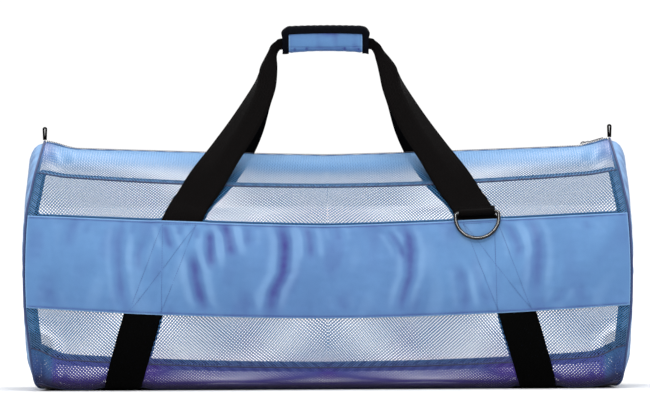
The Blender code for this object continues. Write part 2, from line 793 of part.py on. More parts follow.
def handle():
    angles = sleeve_angles()
    columns = sleeve_columns()
    last = len(columns) - 1
    around = len(angles) - 1
    side_columns = 3

    def wrap_place(column, row):
        return sleeve_point(columns[column], angles[row])

    def binding_place(column, row):
        return sleeve_shell(columns[column], angles[row], BINDING_CLEAR + BINDING_WALL)

    def binding_keep(column, row):
        return row < 4 or column < side_columns or column >= last - side_columns
    grid_object("handle_wrap", last, around, wrap_place, SLEEVE_WALL, materials["nylon"],
                flip=True)
    grid_object("handle_binding", last, around, binding_place, BINDING_WALL,
                materials["webbing"], flip=True, keep=binding_keep)


def dring_frame():
    """Where the D-ring's bar lies: its own x runs along the bar, and its own z up the bag."""
    seat = body(DRING_X, DRING_LINE, -1, DRING_OFFSET)
    turn = Matrix.Rotation(radians(-DRING_TILT), 4, "Y")
    return Matrix.Translation(seat) @ turn


def d_ring():
    """The ring, hanging from an empty whose x axis is the hinge axis."""
    pivot = bpy.data.objects.new("dring_pivot", None)
    pivot.matrix_world = dring_frame()
    parts.objects.link(pivot)
    outline = []
    bar = DRING_HALF - DRING_CORNER
    for end in (-1, 1):
        corner = []
        for index in range(4):
            angle = pi / 2 * index / 3
            corner.append((end * (bar + DRING_CORNER * sin(angle)),
                           -DRING_CORNER + DRING_CORNER * cos(angle)))
        outline += corner[::-1] if end < 0 else corner
    steps = 14
    for index in range(steps + 1):
        angle = pi * index / steps
        outline.append((DRING_HALF * cos(angle), -DRING_LEG - DRING_HALF * sin(angle)))
    lean = radians(DRING_LEAN)
    points = [Vector((x, z * sin(lean), z * cos(lean))) for x, z in outline]
    ring = tube("d_ring", points, DRING_WIRE, materials["metal"], closed=True, resolution=1)
    ring.parent = pivot


def dring_loop():
    """The webbing folded round the ring's bar, seen along the bar: x outwards, y up."""
    hole = DRING_WIRE + DRING_CLEAR
    outer = hole + LOOP_THICK
    seat = body(DRING_X, DRING_LINE, -1, DRING_OFFSET)
    above = body(DRING_X, DRING_LINE - 0.3, -1, DRING_OFFSET)
    lean = atan2(above.y - seat.y, above.z - seat.z)
    back = LAYER_GAP + WEBBING_THICK + LAYER_GAP - DRING_OFFSET
    front = back + 2 * LOOP_THICK
    rise = DRING_LOOP_RISE
    steps = 8
    turn_from = radians(-180)
    turn_to = radians(35)
    outline = [(back, rise), (back, 0.0)]
    inner = []
    for index in range(steps + 1):
        angle = turn_from + (turn_to - turn_from) * index / steps
        outline.append((outer * cos(angle), outer * sin(angle)))
        inner.append((hole * cos(angle), hole * sin(angle)))
    outline.append((front, rise))
    inner.append((back + LOOP_THICK + 0.0002, rise * 0.62))
    outward = Vector((0.0, -cos(lean), sin(lean)))
    up = Vector((0.0, sin(lean), cos(lean)))
    along_bar = outward.cross(up)
    turn = Matrix((outward, up, along_bar)).transposed().to_4x4()
    flat = Matrix.Translation(seat) @ Matrix.Rotation(radians(-DRING_TILT), 4, "Y") @ turn
    flat_outline("dring_loop", [outline, inner], DRING_LOOP_HALF, materials["webbing"], flat)


def build():
    for side, word in ((-1, "front"), (1, "back")):
        mesh_panels(side, word)
        seam_tape(side, word)
    base_panel()
    bands()
    for end, word in ((-1, "left"), (1, "right")):
        end_panel(end, word)
        piping(end, word)
        end_loop(end, word)
        strap(end, word)
    zip_strip()
    zip_slider()
    handle()
    d_ring()
    dring_loop()


clear_scene()
parts = bpy.data.collections.new(OBJECT_NAME)
bpy.context.scene.collection.children.link(parts)
materials = {name: make_material(name) for name in FINISHES}
build()
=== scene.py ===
from math import atan2, cos, pi, radians, sin

import bpy
import numpy as np
from mathutils import Matrix, Vector


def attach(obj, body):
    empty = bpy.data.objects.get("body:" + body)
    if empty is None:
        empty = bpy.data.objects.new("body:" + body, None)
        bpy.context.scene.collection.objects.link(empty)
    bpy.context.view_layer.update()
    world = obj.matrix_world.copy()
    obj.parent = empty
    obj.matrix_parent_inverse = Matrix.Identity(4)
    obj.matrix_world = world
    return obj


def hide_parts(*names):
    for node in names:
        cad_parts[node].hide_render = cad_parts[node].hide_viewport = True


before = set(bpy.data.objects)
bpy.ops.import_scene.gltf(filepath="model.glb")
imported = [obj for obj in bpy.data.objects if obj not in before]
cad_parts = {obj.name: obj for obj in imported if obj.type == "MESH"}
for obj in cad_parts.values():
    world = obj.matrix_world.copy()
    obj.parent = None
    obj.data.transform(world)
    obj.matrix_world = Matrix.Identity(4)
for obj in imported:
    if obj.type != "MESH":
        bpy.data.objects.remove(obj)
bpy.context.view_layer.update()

# Sizes shared with the solids, in metres
NYLON_THICK = 0.0012
TAPE_THICK = 0.0010
WEBBING_THICK = 0.0022
LOOP_THICK = 0.0015
SEAM_GAP = 0.0012
LAYER_GAP = 0.0009
END_MARGIN = 0.0026
NET_MARGIN = 0.0017
PIPING_RADIUS = 0.0016

# The body's section, from the zip down to the base: y_mid, z_mid, y_end, z_end, power, lift
# and half length of each line
SECTION = np.array((
    (0.0000, 0.3295, 0.0000, 0.3420, 1.2, 0.0090, 0.4000),
    (-0.0460, 0.3240, -0.0450, 0.3365, 1.2, 0.0080, 0.4015),
    (-0.0860, 0.3080, -0.0840, 0.3230, 1.5, 0.0050, 0.4060),
    (-0.1215, 0.2850, -0.1175, 0.3045, 1.8, 0.0030, 0.4115),
    (-0.1445, 0.2570, -0.1380, 0.2765, 1.5, 0.0010, 0.4180),
    (-0.1610, 0.2305, -0.1540, 0.2470, 1.3, 0.0000, 0.4240),
    (-0.1760, 0.1655, -0.1680, 0.1830, 1.5, 0.0000, 0.4275),
    (-0.1760, 0.1010, -0.1690, 0.1180, 1.7, 0.0000, 0.4265),
    (-0.1700, 0.0620, -0.1650, 0.0800, 1.8, 0.0040, 0.4230),
    (-0.1560, 0.0315, -0.1560, 0.0480, 2.0, 0.0130, 0.4205),
    (-0.1400, 0.0120, -0.1440, 0.0190, 2.0, 0.0100, 0.4165),
    (-0.1210, 0.0020, -0.1270, 0.0020, 2.0, 0.0085, 0.4125),
    (-0.0960, 0.0000, -0.1020, 0.0000, 2.0, 0.0040, 0.4060),
    (0.0000, 0.0000, 0.0000, 0.0000, 2.0, 0.0025, 0.4020),
))
(ZIP, CROWN, SHOULDER, UPPER_SEAM, UPPER_MESH, BAND_TOP, BAND_MID, BAND_BOTTOM, LOWER_MESH,
 LOWER_SEAM, HEEL, BASE_SEAM, TOE, BASE) = range(len(SECTION))
LIFT_START = 0.88
# Soft dents and swells: x, line, half widths along both, height
SWELLS = (
    (0.4060, 10.0, 0.0100, 1.3, -0.0060),
    (0.3860, 10.0, 0.0120, 1.2, 0.0035),
    (0.3800, 1.6, 0.0220, 1.6, -0.0040),
    (0.1500, 4.2, 0.0900, 1.0, -0.0015),
    (0.1400, 10.0, 0.0800, 1.0, 0.0020),
)

# Straps where they lie on the body, and where they rise free to the handle
STRAP_LINES = (3.0, 4.0, 5.0, 6.0, 7.0, 8.0, 9.0, 10.0, 11.0, 12.0, 13.0)
STRAP_X = (0.1755, 0.1935, 0.2095, 0.2365, 0.2635, 0.2745, 0.2835, 0.2900, 0.2925, 0.2945,
           0.2945)
STRAP_HALF = 0.0250
FOLD_HALF = 0.0025
STRAP_LEAVES = 4.0
STRAP_SHIFT = 0.0028
STRAP_END_GAP = 0.0008
TUNNEL_HALF = 0.0290
TUNNEL_RAMP = 0.0150
STRAP_FREE = np.array((
    (0.1725, -0.1250, 0.2965, 0.1515, -0.1330, 0.2830, 0.0),
    (0.1487, -0.1000, 0.3363, 0.1275, -0.1080, 0.3230, 26.0),
    (0.1244, -0.0770, 0.3743, 0.1032, -0.0850, 0.3610, 36.0),
    (0.1050, -0.0550, 0.4133, 0.0838, -0.0620, 0.4000, 53.0),
    (0.0990, -0.0425, 0.4334, 0.0757, -0.0480, 0.4240, 69.0),
    (0.0954, -0.0320, 0.4524, 0.0721, -0.0355, 0.4430, 87.0),
    (0.0876, -0.0215, 0.4668, 0.0692, -0.0230, 0.4580, 128.0),
    (0.0813, -0.0135, 0.4763, 0.0676, -0.0140, 0.4660, 155.0),
    (0.0766, -0.0092, 0.4853, 0.0666, -0.0092, 0.4715, 170.0),
    (0.0695, -0.0066, 0.4915, 0.0656, -0.0066, 0.4752, 174.0),
    (0.0630, -0.0061, 0.4950, 0.0630, -0.0061, 0.4775, 175.0),
    (0.0300, -0.0061, 0.4985, 0.0300, -0.0061, 0.4805, 175.0),
    (0.0000, -0.0061, 0.4995, 0.0000, -0.0061, 0.4815, 175.0),
))
BACK_STRAP_INWARD = 0.0150

# Handle sleeve
HANDLE_X = -0.0015
SLEEVE_LENGTH = 0.1220
SLEEVE_TOP = 0.5105
SLEEVE_BOTTOM = 0.4744
SLEEVE_ARCH = 0.0020
SLEEVE_HALF_DEPTH = 0.0125
SLEEVE_CORNER = 0.0110
SLEEVE_POWER = 3.6
BINDING_OUT = 0.0019
BINDING_SIDE = 0.0085
BINDING_TOP_ANGLE = 78.0
HANDLE_TUCKS = (-0.0440, -0.0270, 0.0270, 0.0470)

# D-ring and its loop
DRING_X = 0.2100
DRING_LINE = 4.80
DRING_WIRE = 0.00265
DRING_HALF = 0.03035
DRING_LEG = 0.0080
DRING_CORNER = 0.0044
DRING_OFFSET = 0.0093
DRING_LEAN = 20.0
DRING_TILT = 3.0
DRING_LOOP_HALF = 0.0252
DRING_LOOP_RISE = 0.0110
DRING_CLEAR = 0.00035

# Band: the creases of its cloth as half width, depth, and (x, share of the way down) points
BAND_CREASES = (
    (0.0065, 0.45, (-0.2890, 0.07), (-0.2935, 0.26), (-0.2941, 0.45), (-0.2911, 0.69),
     (-0.2842, 0.93)),
    (0.0054, 0.40, (-0.2608, 0.25), (-0.2659, 0.38), (-0.2659, 0.52)),
    (0.0059, 0.65, (-0.2286, 0.08), (-0.2255, 0.20), (-0.2207, 0.30)),
    (0.0087, 0.80, (-0.1883, 0.39), (-0.1855, 0.59), (-0.1784, 0.81), (-0.1742, 0.88)),
    (0.0071, 0.80, (-0.1661, 0.14), (-0.1652, 0.31), (-0.1643, 0.46)),
    (0.0085, 0.80, (-0.1446, 0.03), (-0.1389, 0.18), (-0.1361, 0.34)),
    (0.0063, 0.22, (-0.3575, 0.06), (-0.3636, 0.20), (-0.3656, 0.31)),
    (0.0056, 0.16, (-0.3354, 0.07), (-0.3415, 0.19)),
    (0.0071, 0.25, (-0.3900, 0.78), (-0.3858, 0.91), (-0.3815, 0.96)),
    (0.0049, 0.20, (-0.2709, 0.05), (-0.2749, 0.17)),
    (0.0056, 0.28, (-0.2066, 0.06), (-0.2085, 0.16)),
    (0.0056, 0.35, (-0.1869, 0.07), (-0.1832, 0.20)),
    (0.0063, 0.40, (-0.1123, 0.07), (-0.1123, 0.24)),
    (0.0085, 0.85, (-0.0642, 0.06), (-0.0599, 0.20), (-0.0599, 0.32), (-0.0629, 0.51),
     (-0.0760, 0.69), (-0.0821, 0.88)),
    (0.0059, 0.60, (-0.0289, 0.05), (-0.0257, 0.16), (-0.0237, 0.35)),
    (0.0056, 0.35, (0.0126, 0.05), (0.0166, 0.18)),
    (0.0056, 0.45, (0.0891, 0.13), (0.1032, 0.29), (0.1073, 0.37)),
    (0.0071, 0.65, (0.1083, 0.08), (0.1144, 0.19), (0.1173, 0.31), (0.1154, 0.56),
     (0.1073, 0.71), (0.1023, 0.86)),
    (0.0063, 0.25, (0.0166, 0.75), (0.0205, 0.88)),
    (0.0085, 0.22, (-0.1192, 0.70), (-0.1093, 0.88)),
    (0.0071, 0.40, (0.1879, 0.52), (0.1920, 0.73), (0.1949, 0.92)),
    (0.0063, 0.32, (0.2061, 0.44), (0.2121, 0.63), (0.2221, 0.87)),
    (0.0065, 0.50, (0.2523, 0.08), (0.2625, 0.22), (0.2685, 0.33), (0.2664, 0.41)),
    (0.0079, 0.55, (0.2866, 0.06), (0.2937, 0.20), (0.2968, 0.36), (0.2955, 0.56),
     (0.2917, 0.77)),
    (0.0056, 0.25, (0.3632, 0.09), (0.3673, 0.18)),
    (0.0063, 0.25, (0.3307, 0.76), (0.3189, 0.91)),
    (0.0063, 0.18, (0.3547, 0.76), (0.3632, 0.93)),
    (0.0071, 0.25, (0.1779, 0.08), (0.1779, 0.24)),
)
# Rows of stitches that hold the straps under the band, as pairs of (x, share down)
STRAP_STITCHES = (
    ((-0.2320, 0.05), (-0.2800, 0.97)), ((-0.1841, 0.05), (-0.2800, 0.97)),
    ((-0.2320, 0.05), (-0.2341, 0.97)), ((-0.1855, 0.06), (-0.2355, 0.97)),
    ((-0.2320, 0.05), (-0.1841, 0.05)),
    ((0.1905, 0.05), (0.2400, 0.97)), ((0.2385, 0.05), (0.2863, 0.97)),
    ((0.1905, 0.05), (0.2870, 0.97)), ((0.2345, 0.05), (0.2377, 0.97)),
    ((0.1905, 0.05), (0.2385, 0.05)),
)
BAND_PLAIN = LAYER_GAP + NYLON_THICK
BAND_OVER_STRAP = BAND_PLAIN + WEBBING_THICK + LAYER_GAP
BAND_PUFF = 0.0032
BAND_PLATEAU = 0.0310
BAND_RAMP = 0.0110

# End panels: x of the bulge at each height
BULGE_Z = (0.0000, 0.0120, 0.0450, 0.1100, 0.2000, 0.2670, 0.3100, 0.3380, 0.3510)
BULGE_X = (0.4080, 0.4170, 0.4265, 0.4290, 0.4310, 0.4280, 0.4255, 0.4285, 0.4340)
END_CENTRE_Z = 0.160

# Zip
ZIP_HALF_WIDTH = 0.0155
CHAIN_HALF_WIDTH = 0.0030
CHAIN_HEIGHT = 0.0016
SLIDER_X = 0.3590

# Loops at the ends of the zip
END_LOOP_HALF_WIDTH = 0.0100
END_LOOP_SPREAD = 0.00312
END_LOOP_HEIGHT = 0.0185
END_LOOP_FOOT = 0.0020
END_LOOP_WALL = 0.0025

# Binding inside the edges of the side panels
BINDING_EDGE = 0.0010
BINDING_BEYOND_SEAM = 0.0085
BINDING_WIDTH = 0.0066
BINDING_LOW_WIDTH = 0.0095
BINDING_END_WIDTH = 0.0072
BINDING_DEPTH = 0.0023

# Net: the two steps from hole to hole, across and down the cloth, and a hole's share of a
# step at the zip, in the sides and under the lower seam
NET_STEP_A = (-0.002251, 0.002832)
NET_STEP_B = (0.002398, 0.002111)
NET_HOLE_ZIP = 0.54
NET_HOLE_SIDE = (0.800, 0.752)
NET_HOLE_LOW = (0.50, 0.34)
NET_CORNER_X = 0.384
NET_CORNER_FADE = 0.010

# Stitches: from one to the next, thread length and width, height over the cloth, and how far
# the rows along the hems lie from the edges
STITCH_PITCH = 0.0034
STITCH_LENGTH = 0.0024
STITCH_WIDTH = 0.0006
STITCH_LIFT = 0.0001
HEM_INSET = 0.0026

SIDES = ((-1, "front"), (1, "back"))
ENDS = ((-1, "left"), (1, "right"))

# Room: brightness straight up, on the camera's side and behind the bag, then the lamp
FLOOR_HALF = 30.0
FLOOR_GREY = 0.68
SKY_TOP = 1.9
SKY_FRONT = 0.60
SKY_BACK = 1.03
KEY_PLACE = (0.10, -3.30, 2.72)
KEY_AIM = (0.0, 0.0, 0.2)
KEY_SIZE = 0.42
KEY_POWER = 64.0

# View: pixels to a metre, picture width, pixels from its middle to the bag's origin, degrees
# from straight down and of roll, and metres to the front of the bag
VIEW_SCALE = 709.0
VIEW_WIDTH = 650.0
VIEW_CENTRE = (-2.5, 180.0)
VIEW_TILT = 89.5
VIEW_ROLL = -0.3
VIEW_DISTANCE = 20.0
VIEW_FRONT = 0.10

def smooth(t):
    t = np.clip(t, 0.0, 1.0)
    return t * t * (3.0 - 2.0 * t)


def catmull(before, start, end, after, t):
    """The point at t between start and end on a smooth curve through all four."""
    lead = (end - before) * 0.5
    trail = (after - start) * 0.5
    square = t * t
    cube = square * t
    return (start * (2 * cube - 3 * square + 1) + lead * (cube - 2 * square + t)
            + end * (3 * square - 2 * cube) + trail * (cube - square))


def along(values, position):
    """A smooth curve through a row of numbers or points, read at fractional places."""
    values = np.asarray(values, float)
    position = np.asarray(position, float)
    index = np.clip(np.floor(position).astype(int), 0, len(values) - 2)
    padded = np.concatenate([[values[0] * 2 - values[1]], values,
                             [values[-1] * 2 - values[-2]]])
    t = position - index
    t = t.reshape(t.shape + (1,) * (values.ndim - 1))
    return catmull(padded[index], padded[index + 1], padded[index + 2], padded[index + 3], t)


def half_length(line):
    return along(SECTION[:, 6], line)


def strap_x(line, end):
    return np.interp(line, STRAP_LINES, STRAP_X) + end * STRAP_SHIFT


def strap_distance(x, line):
    end = np.where(x < 0, -1, 1)
    return abs(abs(x) - strap_x(line, end))


def row_point(index, fraction):
    y_mid, z_mid, y_end, z_end, power, lift, _ = np.moveaxis(SECTION[index], -1, 0)
    share = fraction ** power
    rise = lift * smooth((fraction - LIFT_START) / (1.0 - LIFT_START))
    return np.stack([y_mid + (y_end - y_mid) * share, z_mid + (z_end - z_mid) * share + rise],
                    -1)


def section_point(line, fraction):
    """y and z of the front half of the section, at a share of the bag's half length."""
    last = len(SECTION) - 1
    first = np.clip(np.floor(line).astype(int), 0, last - 1)
    t = (line - first)[..., None]
    start = row_point(first, fraction)
    end = row_point(first + 1, fraction)
    mirrored = row_point(np.ones_like(first), fraction) * (-1.0, 1.0)
    before = np.where((first == 0)[..., None], mirrored,
                      row_point(np.maximum(first - 1, 0), fraction))
    level = end * 2 - start
    level[..., 1] = end[..., 1]
    after = np.where((first + 1 == TOE)[..., None], level,
                     row_point(np.minimum(first + 2, last), fraction))
    flat = start + (end - start) * t
    return np.where((first >= TOE)[..., None], flat, catmull(before, start, end, after, t))


def swell_height(x, line):
    total = np.zeros_like(x)
    for place, row, x_width, line_width, height in SWELLS:
        total += (height * smooth(1.0 - abs(abs(x) - place) / x_width)
                  * smooth(1.0 - abs(line - row) / line_width))
    return total


def plain_body(x, line):
    """The front of the body without its dents."""
    fraction = np.minimum(1.0, abs(x) / half_length(line))
    yz = section_point(line, fraction)
    reach = smooth((TUNNEL_HALF + TUNNEL_RAMP - strap_distance(x, line)) / TUNNEL_RAMP)
    depth = smooth((line - LOWER_SEAM - 0.6) / 1.4)
    rise = (WEBBING_THICK + LAYER_GAP) * reach * depth
    return np.stack([x, yz[..., 0], np.maximum(yz[..., 1], 0.0) + rise], -1)


def unit(vectors):
    return vectors / np.maximum(np.linalg.norm(vectors, axis=-1, keepdims=True), 1e-12)


def plain_normal(x, line):
    step_x, step_line, last = 0.0005, 0.01, len(SECTION) - 1.0
    down = (plain_body(x, np.minimum(last, line + step_line))
            - plain_body(x, np.maximum(0.0, line - step_line)))
    across = plain_body(x + step_x, line) - plain_body(x - step_x, line)
    down = np.where((line < step_line)[..., None], (0.0, -1.0, 0.0), down)
    down = np.where((line > last - step_line)[..., None], (0.0, 1.0, 0.0), down)
    return unit(np.cross(down, across))


def body(x, line, side, offset=0.0):
    """Points on the body: side is -1 for the front half and 1 for the back half."""
    x, line, offset = np.broadcast_arrays(np.asarray(x, float), np.asarray(line, float),
                                          np.asarray(offset, float))
    height = (swell_height(x, line) + offset)[..., None]
    points = plain_body(x, line) + plain_normal(x, line) * height
    points[..., 1] *= -side
    return points


def outward(x, line, side):
    x, line = np.broadcast_arrays(np.asarray(x, float), np.asarray(line, float))
    normal = plain_normal(x, line)
    normal[..., 1] *= -side
    return normal


# Metres of cloth from the zip down to each line, at the middle of the bag
_LINES = np.linspace(0.0, len(SECTION) - 1.0, 1301)
_POINTS = plain_body(np.zeros_like(_LINES), _LINES)
_LENGTHS = np.concatenate([[0.0], np.cumsum(np.linalg.norm(np.diff(_POINTS, axis=0), axis=1))])


def length_at(line):
    return np.interp(line, _LINES, _LENGTHS)


def line_at(length):
    return np.interp(length, _LENGTHS, _LINES)


def shifted(line, distance):
    """The line that lies a distance in metres further down the section."""
    return float(line_at(length_at(line) + distance))


def ripple(x, v, seed, wavelength, turns=6):
    """A smooth uneven relief between about -1 and 1, the same on every run."""
    rng = np.random.default_rng(seed)
    total = np.zeros_like(x + v)
    for _ in range(turns):
        angle = rng.uniform(0, pi)
        length = wavelength * rng.uniform(0.6, 1.7)
        phase = rng.uniform(0, 2 * pi)
        total += np.sin((x * cos(angle) + v * sin(angle)) * 2 * pi / length + phase)
    return total / turns * 1.6


# ---------------------------------------------------------------- meshes

def mesh_piece(name, points, faces, material, nodes=(), body_name="bag", uv=None,
               values=None, smooth_shading=True):
    """A piece from arrays of points and faces. uv and values are given for each point."""
    mesh = bpy.data.meshes.new(name)
    mesh.from_pydata(points.reshape(-1, 3).tolist(), [], [list(map(int, f)) for f in faces])
    if uv is not None:
        layer = mesh.uv_layers.new(name="cloth")
        loops = np.zeros(len(mesh.loops), int)
        mesh.loops.foreach_get("vertex_index", loops)
        layer.data.foreach_set("uv", uv.reshape(-1, 2)[loops].astype(np.float32).ravel())
    for key, value in (values or {}).items():
        channel = mesh.attributes.new(key, "FLOAT", "POINT")
        channel.data.foreach_set("value", value.astype(np.float32).ravel())
    mesh.validate()
    if smooth_shading:
        mesh.shade_smooth()
    mesh.materials.append(material)
    obj = bpy.data.objects.new(name, mesh)
    bpy.context.scene.collection.objects.link(obj)
    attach(obj, body_name)
    if nodes:
        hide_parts(*nodes)
    return obj


def ring_faces(rows, columns, flip=False):
    """Quads between rows of points, each row a closed ring."""
    r, c = np.meshgrid(np.arange(rows - 1), np.arange(columns), indexing="ij")
    n = (c + 1) % columns
    faces = np.stack([r * columns + c, r * columns + n, (r + 1) * columns + n,
                      (r + 1) * columns + c], -1).reshape(-1, 4)
    return faces[:, ::-1] if flip else faces


def grid_uv(points):
    """Metres of cloth along and across a grid of points."""
    def metres(axis, start):
        steps = np.linalg.norm(np.diff(points, axis=axis, prepend=start), axis=2)
        return np.cumsum(steps, axis=axis)
    return np.stack([metres(1, points[:, :1]), metres(0, points[:1])], -1)

def grid_normals(points):
    return unit(np.cross(np.gradient(points, axis=0), np.gradient(points, axis=1)))


def facing(points, towards):
    """Grid normals turned so that most of them point the same way as towards."""
    normals = grid_normals(points)
    return normals if (normals * towards).sum() > 0 else -normals

def shell(points, normals, thickness, values=None):
    """A grid of points with a rounded edge and a back, as one closed sheet.

    Gives points, faces, uv and values. The points are the front; the back lies behind them.
    """
    rows, columns = points.shape[:2]
    flip = (grid_normals(points) * normals).sum() < 0
    back = points - normals * thickness
    round_out = thickness * 0.32

    def rim(index, inner):
        edge = points[:, index]
        away = unit(edge - points[:, inner])
        return (edge - normals[:, index] * thickness / 2 + away * round_out)[:, None]

    def wrapped(grid):
        return np.concatenate([grid[:, :1], grid, grid[:, -1:], grid[:, ::-1]], axis=1)
    ring = np.concatenate([rim(0, 1), points, rim(-1, -2), back[:, ::-1]], axis=1)
    count = ring.shape[1]
    faces = ring_faces(rows, count, flip).tolist()
    for row, turn in ((0, not flip), (rows - 1, flip)):
        cap = np.arange(count) + row * count
        strip = [[cap[0], cap[1], cap[-1]]]
        strip += [[cap[k], cap[k + 1], cap[-1 - k], cap[-k]] for k in range(1, columns)]
        strip.append([cap[columns], cap[columns + 1], cap[columns + 2]])
        faces += [s[::-1] if turn else s for s in strip]
    made = {key: wrapped(value) for key, value in (values or {}).items()}
    return ring.reshape(-1, 3), faces, wrapped(grid_uv(points)).reshape(-1, 2), made


def sheet_piece(name, points, towards, thickness, material, nodes, values=None):
    p, f, uv, values = shell(points, facing(points, towards), thickness, values)
    return mesh_piece(name, p, f, material, nodes, uv=uv, values=values)


def taped_piece(name, shells, material, node):
    """Several strips of tape as one piece."""
    points, faces = joined([part[:2] for part in shells])
    mesh_piece(name, points, faces, material, [node],
               uv=np.concatenate([part[2] for part in shells]))

def frames_along(path, closed):
    """Two unit vectors across a path at each of its points, carried along without a twist."""
    if closed:
        ahead = unit(np.roll(path, -1, 0) - np.roll(path, 1, 0))
    else:
        ahead = unit(np.gradient(path, axis=0))
    first = np.cross(ahead[0], (0.31, 0.62, 0.72))
    across = [first / np.linalg.norm(first)]
    for direction in ahead[1:]:
        turned = across[-1] - direction * np.dot(across[-1], direction)
        across.append(turned / np.linalg.norm(turned))
    across = np.array(across)
    if closed:
        last = across[-1] - ahead[0] * np.dot(across[-1], ahead[0])
        last = last / np.linalg.norm(last)
        up = np.cross(ahead[0], across[0])
        twist = atan2(float(np.dot(last, up)), float(np.dot(last, across[0])))
        turn = -twist * np.arange(len(path)) / len(path)
        across = (across * np.cos(turn)[:, None]
                  + np.cross(ahead, across) * np.sin(turn)[:, None])
    return across, np.cross(ahead, across)


def tube_arrays(path, radius, segments, closed=False):
    path = np.asarray(path, float)
    across, up = frames_along(path, closed)
    angle = np.arange(segments) * 2 * pi / segments
    ring = (path[:, None] + (across[:, None] * np.cos(angle)[:, None]
                             + up[:, None] * np.sin(angle)[:, None]) * radius)
    faces = ring_faces(len(path), segments, flip=True).tolist()
    last = (len(path) - 1) * segments
    if closed:
        for k in range(segments):
            n = (k + 1) % segments
            faces.append([last + n, last + k, k, n])
    else:
        faces.append(list(range(segments)))
        faces.append([last + k for k in reversed(range(segments))])
    return ring.reshape(-1, 3), faces


def cord_piece(name, path, metres, radius, segments, material, nodes=(), closed=False):
    """A cord along a path, with the metres along it as its uv."""
    points, faces = tube_arrays(path, radius, segments, closed)
    uv = np.repeat(np.stack([metres, metres * 0], 1), segments, axis=0)
    mesh_piece(name, points, faces, material, nodes, uv=uv)

def joined(parts):
    """Several (points, faces) as one."""
    points, faces, start = [], [], 0
    for part_points, part_faces in parts:
        points.append(np.asarray(part_points, float).reshape(-1, 3))
        faces += [[i + start for i in map(int, f)] for f in part_faces]
        start += len(points[-1])
    return np.concatenate(points), faces

def moved(points, matrix):
    return np.array(points) @ np.array(matrix.to_3x3()).T + np.array(matrix.translation)


def axes_at(first, second, third, place):
    """The matrix that turns x, y and z to three directions and moves the origin to place."""
    matrix = Matrix((first, second, third)).transposed().to_4x4()
    matrix.translation = place
    return matrix


def box_arrays(size, matrix, taper=0.8):
    """A small block with its top and ends drawn in, for a stitch or a zip tooth."""
    sx, sy, sz = (s / 2 for s in size)
    rings = ((-sx, taper * 0.7), (-sx * 0.62, 1.0), (sx * 0.62, 1.0), (sx, taper * 0.7))
    points = []
    for x, k in rings:
        points += [(x, -sy * k, -sz * k), (x, sy * k, -sz * k), (x, sy * k * taper, sz * k),
                   (x, -sy * k * taper, sz * k)]
    faces = [[3, 2, 1, 0], [12, 13, 14, 15]]
    for r in range(3):
        for k in range(4):
            n = (k + 1) % 4
            faces.append([r * 4 + k, r * 4 + n, r * 4 + 4 + n, r * 4 + 4 + k])
    return moved(points, matrix), faces


def stitch_arrays(path, normals):
    """Short threads along a path that lies on cloth."""
    steps = np.linalg.norm(np.diff(path, axis=0), axis=1)
    distance = np.concatenate([[0.0], np.cumsum(steps)])

    def read(values, at):
        return np.array([np.interp(at, distance, values[:, k]) for k in range(3)])
    parts = []
    for index in range(int(distance[-1] / STITCH_PITCH)):
        middle = (index + 0.5) * STITCH_PITCH
        a = read(path, middle - STITCH_LENGTH / 2)
        b = read(path, middle + STITCH_LENGTH / 2)
        n = read(normals, middle)
        ahead = Vector(b - a).normalized()
        across = Vector(n).normalized().cross(ahead).normalized()
        matrix = axes_at(ahead, across, ahead.cross(across),
                         Vector((a + b) / 2 + n * STITCH_LIFT))
        parts.append(box_arrays((float(np.linalg.norm(b - a)), STITCH_WIDTH,
                                 STITCH_WIDTH * 0.8), matrix))
    return joined(parts)


# ---------------------------------------------------------------- materials

def new_material(name):
    material = bpy.data.materials.new(name)
    material.use_nodes = True
    tree = material.node_tree
    return material, tree, tree.nodes["Principled BSDF"]


def connect(tree, node, inputs):
    """Link each input to another node's output, or set it to a plain value."""
    for key, value in inputs.items():
        if isinstance(value, bpy.types.NodeSocket):
            tree.links.new(value, node.inputs[key])
        else:
            node.inputs[key].default_value = value


def add(tree, kind, inputs=None, **settings):
    node = tree.nodes.new(kind)
    for key, value in settings.items():
        setattr(node, key, value)
    connect(tree, node, inputs or {})
    return node


def mix_colour(tree, factor, a, b, blend="MIX"):
    a, b = ((*colour, 1.0) if isinstance(colour, tuple) else colour for colour in (a, b))
    return add(tree, "ShaderNodeMix", {0: factor, 6: a, 7: b}, data_type="RGBA",
               blend_type=blend).outputs[2]


def math(tree, operation, a, b=0.0):
    return add(tree, "ShaderNodeMath", {0: a, 1: b}, operation=operation).outputs[0]


def layered(tree, strong, weak):
    """Two heights as one: 0.6 of the first and 0.4 of the second."""
    return math(tree, "ADD", math(tree, "MULTIPLY", strong, 0.6),
                math(tree, "MULTIPLY", weak, 0.4))


def remap(tree, value, low, high, to_low=0.0, to_high=1.0, **settings):
    return add(tree, "ShaderNodeMapRange", {0: value, 1: low, 2: high, 3: to_low, 4: to_high},
               **settings).outputs[0]


def noise(tree, vector, scale, detail=3.0, roughness=0.5):
    return add(tree, "ShaderNodeTexNoise", {"Vector": vector, "Scale": scale, "Detail": detail,
                                            "Roughness": roughness}).outputs[0]


def object_place(tree):
    return tree.nodes.new("ShaderNodeTexCoord").outputs["Object"]


def cloth_place(tree):
    return add(tree, "ShaderNodeUVMap", uv_map="cloth").outputs[0]


def split(tree, vector):
    return add(tree, "ShaderNodeSeparateXYZ", {0: vector}).outputs


def threads(tree, place, pitch, direction="X"):
    """Waves along one direction, a pitch in metres apart."""
    return add(tree, "ShaderNodeTexWave", {"Vector": place, "Scale": 0.31416 / pitch,
                                           "Distortion": 0.0},
               wave_type="BANDS", bands_direction=direction).outputs[1]


def slanted_threads(tree, a, b, pitch):
    """Waves along the sum of two places."""
    slant = add(tree, "ShaderNodeCombineXYZ", {0: math(tree, "ADD", a, b)})
    return threads(tree, slant.outputs[0], pitch)


def attribute(tree, name):
    return add(tree, "ShaderNodeAttribute", attribute_name=name).outputs["Fac"]


